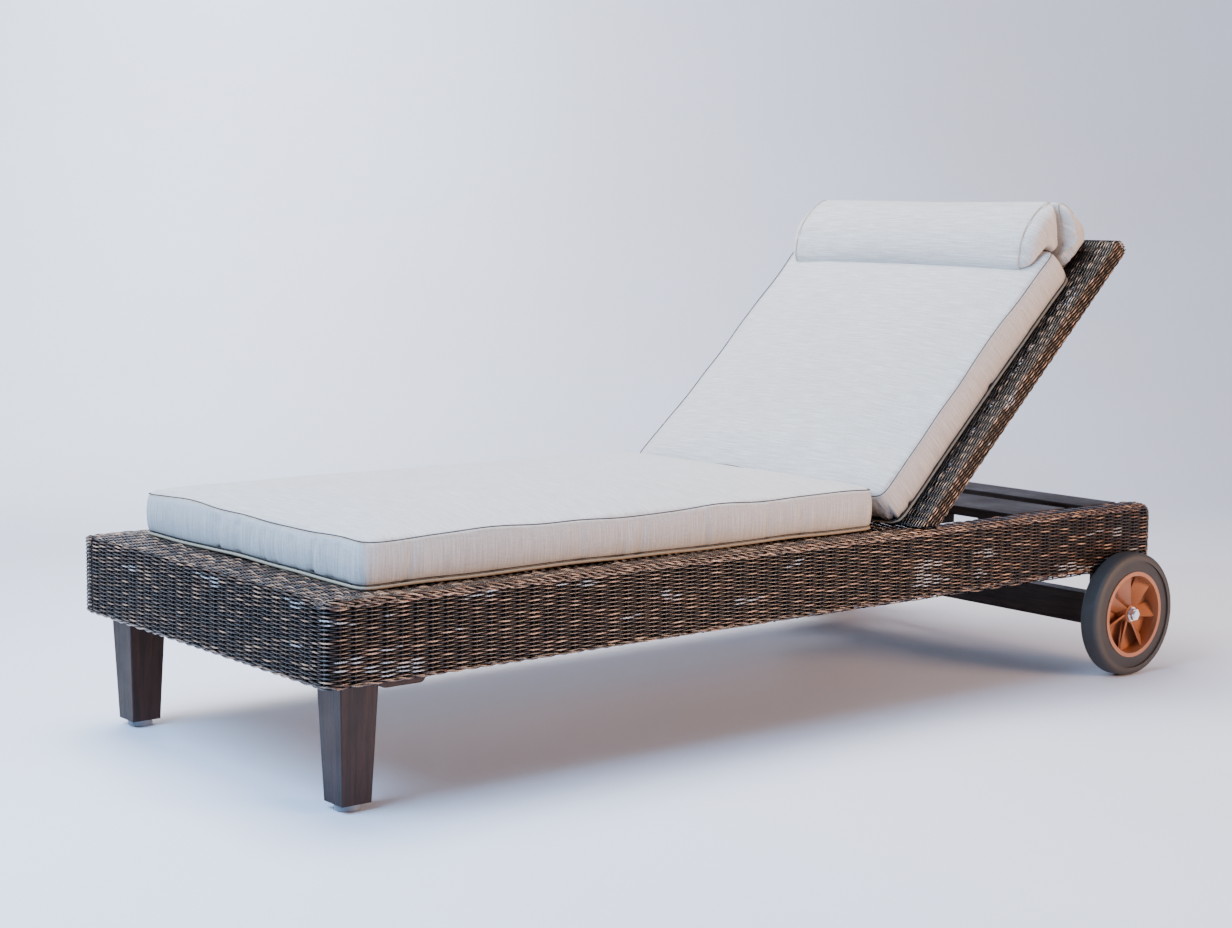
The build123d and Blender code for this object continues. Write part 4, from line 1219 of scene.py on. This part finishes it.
def boxCushion(name, lengths, place, body, nodeName, look, seed, extra):
    # place maps the cushion's own frame to the row frame
    cell = cushionLook["cell"]
    counts = [max(3, int(round(size / cell))) for size in lengths[:2]]
    counts.append(max(4, int(round(lengths[2] / cell))))
    points, quads, cloth, marks = boxGrid(
        lengths, counts, look["radius"], look["pinch"], look["crown"], look["pinchEnds"], extra
    )
    random = np.random.default_rng(seed)
    rim = points[marks["top"]]
    around = np.arange(len(rim)) / len(rim) * 2 * math.pi
    lift = sum(
        look["wavy"] * amount * np.sin(around * turns + random.uniform(0, 6.28))
        for turns, amount in ((5, 0.8), (9, 0.6), (14, 0.5), (23, 0.25))
    )
    # the seams rise and fall a little, and the boxing follows
    for k, ring in enumerate(marks["rings"]):
        share = k / (len(marks["rings"]) - 1)
        points[ring, 2] += lift * share + (0.35 * np.roll(lift, 17) * (1 - share))
    obj = makeObject(name, place(points), quads, fabric)
    addCloth(obj, cloth)
    clothSwell(
        obj, np.concatenate([marks["top"], marks["bottom"]]), cushionLook["cap"], cushionLook["pressure"],
    )
    after = readPoints(obj.data)
    seamTop, seamBottom = after[marks["top"]], after[marks["bottom"]]
    refine(obj)
    final = readPoints(obj.data)
    normals = vertexNormals(obj.data)
    shift = np.zeros(len(final))
    for seam, strength in ((seamTop, 1.0), (seamBottom, 0.8)):
        line = dense(seam, 0.004)
        gap, _ = nearestDistance(final, line)
        shift -= strength * cushionLook["seamDepth"] * np.exp(-((gap / 0.005) ** 2))
        way = np.gradient(line, axis=0)
        way /= np.maximum(np.linalg.norm(way, axis=1), 1e-9)[:, None]
        close = gap < 0.07
        fold = np.zeros(len(final))
        fold[close] = puckerShift(final[close], line, random, look["puckers"], 0.0022, 0.022, way)
        shift -= fold * strength
    # creases that cross the boxing from seam to seam
    upper, lower = dense(seamTop, 0.004), dense(seamBottom, 0.004)
    gapUpper, _ = nearestDistance(final, upper)
    gapLower, at = nearestDistance(final, lower)
    boxing = (gapUpper + gapLower < lengths[2] * 1.12 + 0.004).astype(float)
    total = len(lower) * 0.004
    for share, spread, count in look["folds"]:
        for _ in range(count):
            foldAt = (share + random.uniform(-spread, spread)) * total
            size, depth = random.uniform(0.0035, 0.0085), random.uniform(0.0015, 0.0046)
            lean = random.uniform(-0.25, 0.25)
            delta = at * 0.004 - foldAt - lean * gapLower
            delta = (delta + total / 2) % total - total / 2
            shift -= boxing * depth * np.exp(-((delta / size) ** 2)) * np.clip(gapUpper / 0.02, 0.25, 1)
    setPoints(obj.data, final + normals * shift[:, None])
    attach(obj, body)
    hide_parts(nodeName)
    return seamTop, seamBottom


def addSeams(name, seamTop, seamBottom, body, inward, pipeRadius):
    # a dark stitched line on the front seam, and a corded edge at the back seam
    thread = lineTube(name + "_seam", dense(relax(seamTop, 2), 0.004), 0.0011, seamThread)
    edge = dense(relax(seamBottom, 2), 0.005)
    cord = lineTube(name + "_piping", edge - inward * 0.001, pipeRadius, piping, wave=0.06)
    line = lineTube(name + "_piping_seam", edge + inward * 0.0042, 0.0009, seamThread)
    for piece in (thread, cord, line):
        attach(piece, body)


# a fold group is its middle round the rim, its spread and its count
seatLook = {
    "crown": 0.020, "pinch": 0.006, "pinchEnds": (0.004, -0.008), "radius": 0.024, "piping": 0.0028,
    "puckers": 60, "wavy": 0.0026,
    "folds": ((0.90, 0.09, 13), (0.99, 0.02, 3), (0.16, 0.14, 9), (0.55, 0.2, 6)),
}
seatLow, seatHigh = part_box("seat_cushion")
seatSize = (seatHigh.x - seatLow.x - 0.004, seatHigh.y - seatLow.y - 0.004, seatHigh.z - seatLow.z - 0.004)


def seatPlace(points):
    return points + np.array([(seatLow.x + seatHigh.x) / 2, 0, seatLow.z + 0.003])


seatTop, seatBottom = boxCushion(
    "seat_cushion_cover", seatSize, seatPlace, "base", "seat_cushion", seatLook, 201, lambda x, b: 0 * x
)
addSeams("seat_cushion", seatTop, seatBottom, "base", np.array([0, 0, 1.0]), seatLook["piping"])
print("seat cushion made")

backLook = {
    "crown": 0.012, "pinch": 0.006, "pinchEnds": (-0.003, 0.004), "radius": 0.022, "piping": 0.0026,
    "puckers": 44, "wavy": 0.0018, "footBulge": 0.012, "width": 0.716,
    "start": -0.057, "end": 0.602, "low": 0.0235, "high": 0.096,
    "folds": ((0.01, 0.02, 6), (0.28, 0.2, 6), (0.97, 0.02, 4), (0.6, 0.2, 6)),
}
backSize = (backLook["end"] - backLook["start"], backLook["width"], backLook["high"] - backLook["low"])


def backCushionPlace(points):
    s = points[:, 0] + (backLook["start"] + backLook["end"]) / 2
    return backPlace(s, points[:, 2] + backLook["low"], points[:, 1])


def footSwell(x, b):
    return backLook["footBulge"] * np.exp(-(((x - 0.045) / 0.045) ** 2)) * (1 - b**8)


backTop, backBottom = boxCushion(
    "back_cushion_cover", backSize, backCushionPlace, "backrest", "back_cushion", backLook, 231, footSwell
)
panelOut = np.array([-sinRest, 0, cosRest])
addSeams("back_cushion", backTop, backBottom, "backrest", panelOut, backLook["piping"])
print("back cushion made")


def bolster(name, nodeName, look, seed):
    # a stuffed form drawn along y with domed ends; its outline is a closed run of (s, t) points
    random = np.random.default_rng(seed)
    half, endShrink = look["half"], look["endShrink"]
    outline = np.array(look["outline"])
    loop = np.concatenate([outline, outline[:1]])
    at = np.concatenate([[0], np.cumsum(np.linalg.norm(np.diff(loop, axis=0), axis=1))])
    around, along, capRings = look["cells"]
    even = np.linspace(0, at[-1], around, endpoint=False)
    section = np.stack([np.interp(even, at, loop[:, k]) for k in (0, 1)], 1)
    for _ in range(3):
        smooth = (np.roll(section, 1, 0) + 2 * section + np.roll(section, -1, 0)) / 4
        keep = np.zeros(around, bool)
        for corner in look["corners"]:
            keep[np.argmin(np.linalg.norm(section - np.array(corner), axis=1))] = True
        section = np.where(keep[:, None], section, smooth)
    middle = section.mean(0)
    stations = np.linspace(-1, 1, along + 1)
    rings = []
    for place in stations:
        scale = 1 - endShrink * abs(place) ** 6
        ring = middle + (section - middle) * scale
        rings.append(backPlace(ring[:, 0], ring[:, 1], np.full(around, place * half)))
    points = [np.array(rings).reshape(-1, 3)]
    index = np.arange((along + 1) * around).reshape(along + 1, around)
    a, b = index[:-1], index[1:]
    quads = [np.stack([a, b, np.roll(b, -1, 1), np.roll(a, -1, 1)], -1).reshape(-1, 4)]
    cloth = []
    u0, u1 = stations[:-1, None] * half * np.ones(around), stations[1:, None] * half * np.ones(around)
    v0, v1 = even[None] * np.ones((along, 1)), np.append(even[1:], at[-1])[None] * np.ones((along, 1))
    flat = np.zeros((along, around, 4, 3))
    flat[..., 0, 0], flat[..., 1, 0], flat[..., 2, 0], flat[..., 3, 0] = u0, u1, u1, u0
    flat[..., 0, 1], flat[..., 1, 1], flat[..., 2, 1], flat[..., 3, 1] = v0, v0, v1, v1
    cloth.append(flat.reshape(-1, 4, 3))
    total = (along + 1) * around
    seams = []
    for sign, edge in ((-1, index[0]), (1, index[-1])):
        previous = edge
        seams.append(edge)
        outer = middle + (section - middle) * (1 - endShrink)
        for k in range(1, capRings + 1):
            share = 1 - k / capRings
            level = half + look["dome"] * (1 - share ** look["fullness"])
            inner = middle + (outer - middle) * share
            if k == capRings:
                inner = middle + (outer - middle) * 0.02
            ring = backPlace(inner[:, 0], inner[:, 1], np.full(around, sign * level))
            points.append(ring)
            current = np.arange(around) + total
            total += around
            pair = (previous, current) if sign > 0 else (current, previous)
            quads.append(np.stack([pair[0], pair[1], np.roll(pair[1], -1), np.roll(pair[0], -1)], -1))
            wide = np.zeros((around, 4, 3))
            radii = (share + 1 / capRings, share) if sign > 0 else (share, share + 1 / capRings)
            for corner, (ringShare, rolled) in enumerate(
                ((radii[0], 0), (radii[1], 0), (radii[1], -1), (radii[0], -1))
            ):
                spot = np.roll((section - middle) * ringShare, rolled, 0)
                wide[:, corner, 0], wide[:, corner, 1] = spot[:, 1], spot[:, 0]
            cloth.append(wide + 5.0)
            previous = current
    points = np.concatenate(points)
    obj = makeObject(name, points, np.concatenate(quads), fabric)
    addCloth(obj, np.concatenate(cloth))
    clothSwell(obj, np.concatenate(seams), look["cap"], look["pressure"])
    after = readPoints(obj.data)
    lines = [after[s] for s in seams]
    refine(obj)
    final = readPoints(obj.data)
    normals = vertexNormals(obj.data)
    shift = np.zeros(len(final))
    for seam in lines:
        line = dense(seam, 0.003)
        gap, _ = nearestDistance(final, line)
        shift -= 0.0018 * np.exp(-((gap / 0.004) ** 2))
        way = np.gradient(line, axis=0)
        way /= np.maximum(np.linalg.norm(way, axis=1), 1e-9)[:, None]
        close = gap < 0.08
        fold = np.zeros(len(final))
        fold[close] = puckerShift(final[close], line, random, look["gathers"], 0.0028, 0.028, way)
        shift -= fold
    final = final + normals * shift[:, None]
    # deep tucks in both ends
    for s, t, sizeS, sizeT, depth in look["tucks"]:
        for side in (-1, 1):
            centre = backPlace(np.array(s), np.array(t), np.array(side * half))
            offset = final - centre
            alongS = offset @ np.array([cosRest, 0, sinRest])
            alongT = offset @ panelOut
            near = smoothStep(half - 0.03, half, side * final[:, 1])
            final[:, 1] -= side * near * depth * np.exp(-((alongS / sizeS) ** 2) - (alongT / sizeT) ** 2)
    setPoints(obj.data, final)
    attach(obj, "backrest")
    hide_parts(nodeName)
    for number, seam in enumerate(lines):
        thread = lineTube(f"{name}_seam_{number}", dense(relax(seam, 1), 0.003), 0.0009, piping)
        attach(thread, "backrest")


pillowLook = {
    "outline": (
        (0.533, 0.1015), (0.565, 0.0995), (0.597, 0.0990), (0.608, 0.094), (0.610, 0.076), (0.617, 0.064),
        (0.636, 0.063), (0.646, 0.072), (0.667, 0.103), (0.689, 0.135), (0.692, 0.143), (0.675, 0.152),
        (0.645, 0.158), (0.610, 0.157), (0.575, 0.147), (0.545, 0.125), (0.531, 0.110),
    ),
    "corners": ((0.533, 0.1015), (0.692, 0.143), (0.602, 0.098), (0.640, 0.064)),
    "half": 0.314, "endShrink": 0.015, "dome": 0.027, "fullness": 6.0, "cells": (60, 66, 7),
    "gathers": 12, "cap": 0.010, "pressure": 3.0, "tucks": (),
}
bolster("head_pillow_cover", "head_pillow", pillowLook, 251)

# a tuck is its place (s, t), its two sizes and its depth
counterweightLook = {
    "outline": (
        (0.611, 0.024), (0.640, 0.0225), (0.680, 0.0225), (0.705, 0.024), (0.716, 0.040), (0.719, 0.060),
        (0.717, 0.090), (0.713, 0.112), (0.704, 0.133), (0.696, 0.136), (0.674, 0.103), (0.652, 0.071),
        (0.641, 0.0585), (0.612, 0.056),
    ),
    "corners": ((0.699, 0.136), (0.611, 0.024)),
    "half": 0.326, "endShrink": 0.04, "dome": 0.030, "fullness": 3.4, "cells": (50, 72, 6),
    "gathers": 22, "cap": 0.010, "pressure": 3.0,
    "tucks": (
        (0.640, 0.052, 0.010, 0.009, 0.013), (0.622, 0.040, 0.005, 0.012, 0.010),
        (0.655, 0.070, 0.020, 0.004, 0.008),
    ),
}
bolster("pillow_counterweight_cover", "pillow_counterweight", counterweightLook, 261)


def buildBand():
    # the flat fabric that joins the pillow to its counterweight
    half, steps = 0.236, 60
    stations = np.linspace(-half, half, steps)
    rows = []
    for s, t in ((0.6452, 0.0662), (0.6560, 0.0822), (0.6700, 0.1030), (0.6848, 0.1255)):
        sag = 0.0004 * np.sin(stations * 40)
        rows.append(backPlace(s + sag, t - sag, stations))
    front = np.array(rows)
    lift = np.array([cosRest, 0, sinRest]) * 0.0012 - panelOut * 0.0008
    grid = np.concatenate([front, (front + lift)[::-1]])
    count = len(grid)
    points = grid.reshape(-1, 3)
    index = np.arange(len(points)).reshape(count, steps)
    loop = np.concatenate([index, index[:1]])
    quads = np.stack([loop[:-1, :-1], loop[1:, :-1], loop[1:, 1:], loop[:-1, 1:]], -1).reshape(-1, 4)
    obj = makeObject("pillow_band_cloth", points, quads, fabric)
    places = np.stack([points[:, 1], points[:, 2], 0 * points[:, 0]], 1)
    addCloth(obj, places[quads])
    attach(obj, "backrest")
    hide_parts("pillow_band")


buildBand()
print("pillow made")

# ---- floor, lights and camera

stageLook = {"floor": (0.84, 0.87, 0.97, 1), "world": (0.60, 0.73, 1.0, 1), "worldStrength": 0.32}


def buildStage():
    material, tree, shader = newMaterial("studioFloor")
    cloud = noise(tree, objectVector(tree), 0.8, 2.0)
    feed(
        tree, shader.inputs["Base Color"],
        mixColour(tree, remap(tree, cloud, 0.3, 0.7), stageLook["floor"], (0.82, 0.82, 0.88, 1)),
    )
    shader.inputs["Roughness"].default_value = 0.6
    # floor and cove in one sweep, square to the view
    path = roundPath([(-6.0, 0.0), (5.0, 0.0), (5.0, 5.0)], [2.2], 0.15)[1]
    width = np.linspace(-9, 9, 9)
    yaw = math.radians(50.58)
    points = []
    for distance, height in path:
        for w in width:
            points.append(
                (
                    distance * math.cos(yaw) - w * math.sin(yaw),
                    distance * math.sin(yaw) + w * math.cos(yaw), height - 0.0005,
                )
            )
    index = np.arange(len(points)).reshape(len(path), len(width))
    quads = np.stack([index[:-1, :-1], index[1:, :-1], index[1:, 1:], index[:-1, 1:]], -1).reshape(-1, 4)
    floor = makeObject("studio_floor", np.array(points), quads[:, ::-1], material)


buildStage()
world = bpy.data.worlds.new("studio")
bpy.context.scene.world = world
world.use_nodes = True
world.node_tree.nodes["Background"].inputs[0].default_value = stageLook["world"]
world.node_tree.nodes["Background"].inputs[1].default_value = stageLook["worldStrength"]

lightLooks = (
    {
        "name": "coolKey", "place": (-2.6, -0.2, 2.6), "aim": (0, 0, 0.3), "size": 2.2, "power": 238,
        "colour": (0.41, 0.65, 1.0),
    },
    {
        "name": "topSoft", "place": (-0.3, 0.8, 3.4), "aim": (0.1, 0, 0.3), "size": 2.2, "power": 225,
        "colour": (1.0, 0.965, 0.93),
    },
    {
        "name": "warmSide", "place": (1.9, -3.5, 1.0), "aim": (0.1, 0, 0.40), "size": 1.6, "power": 165,
        "colour": (1.0, 0.60, 0.35),
    },
    {
        "name": "backWash", "place": (0.3, 3.4, 2.6), "aim": (1.2, 5.6, 1.4), "size": 2.0, "power": 140,
        "colour": (0.82, 0.90, 1.0),
    },
)
for look in lightLooks:
    data = bpy.data.lights.new(look["name"], "AREA")
    data.shape = "SQUARE"
    data.size = look["size"]
    data.energy = look["power"]
    data.color = look["colour"]
    lamp = bpy.data.objects.new(look["name"], data)
    lamp.location = look["place"]
    lamp.rotation_mode = "QUATERNION"
    lamp.rotation_quaternion = (Vector(look["aim"]) - Vector(look["place"])).to_track_quat("-Z", "Y")
    bpy.context.scene.collection.objects.link(lamp)

cameraLook = {
    "place": (-2.70012, -3.15086, 0.93349), "lens": 63.82, "yaw": 50.581, "pitch": 6.755, "roll": 0.732,
}


def buildCamera():
    yaw, pitch, roll = (math.radians(cameraLook[x]) for x in ("yaw", "pitch", "roll"))
    forward = Vector((math.cos(pitch) * math.cos(yaw), math.cos(pitch) * math.sin(yaw), -math.sin(pitch)))
    right = forward.cross(Vector((0, 0, 1))).normalized()
    up = right.cross(forward)
    turnedRight = right * math.cos(roll) + up * math.sin(roll)
    turnedUp = up * math.cos(roll) - right * math.sin(roll)
    data = bpy.data.cameras.new("viewCamera")
    data.lens = cameraLook["lens"]
    data.sensor_width = 36
    data.dof.use_dof = False
    camera = bpy.data.objects.new("viewCamera", data)
    basis = Matrix((turnedRight, turnedUp, -forward)).transposed().to_4x4()
    camera.matrix_world = Matrix.Translation(Vector(cameraLook["place"])) @ basis
    bpy.context.scene.collection.objects.link(camera)
    bpy.context.scene.camera = camera


buildCamera()
print("stage set")
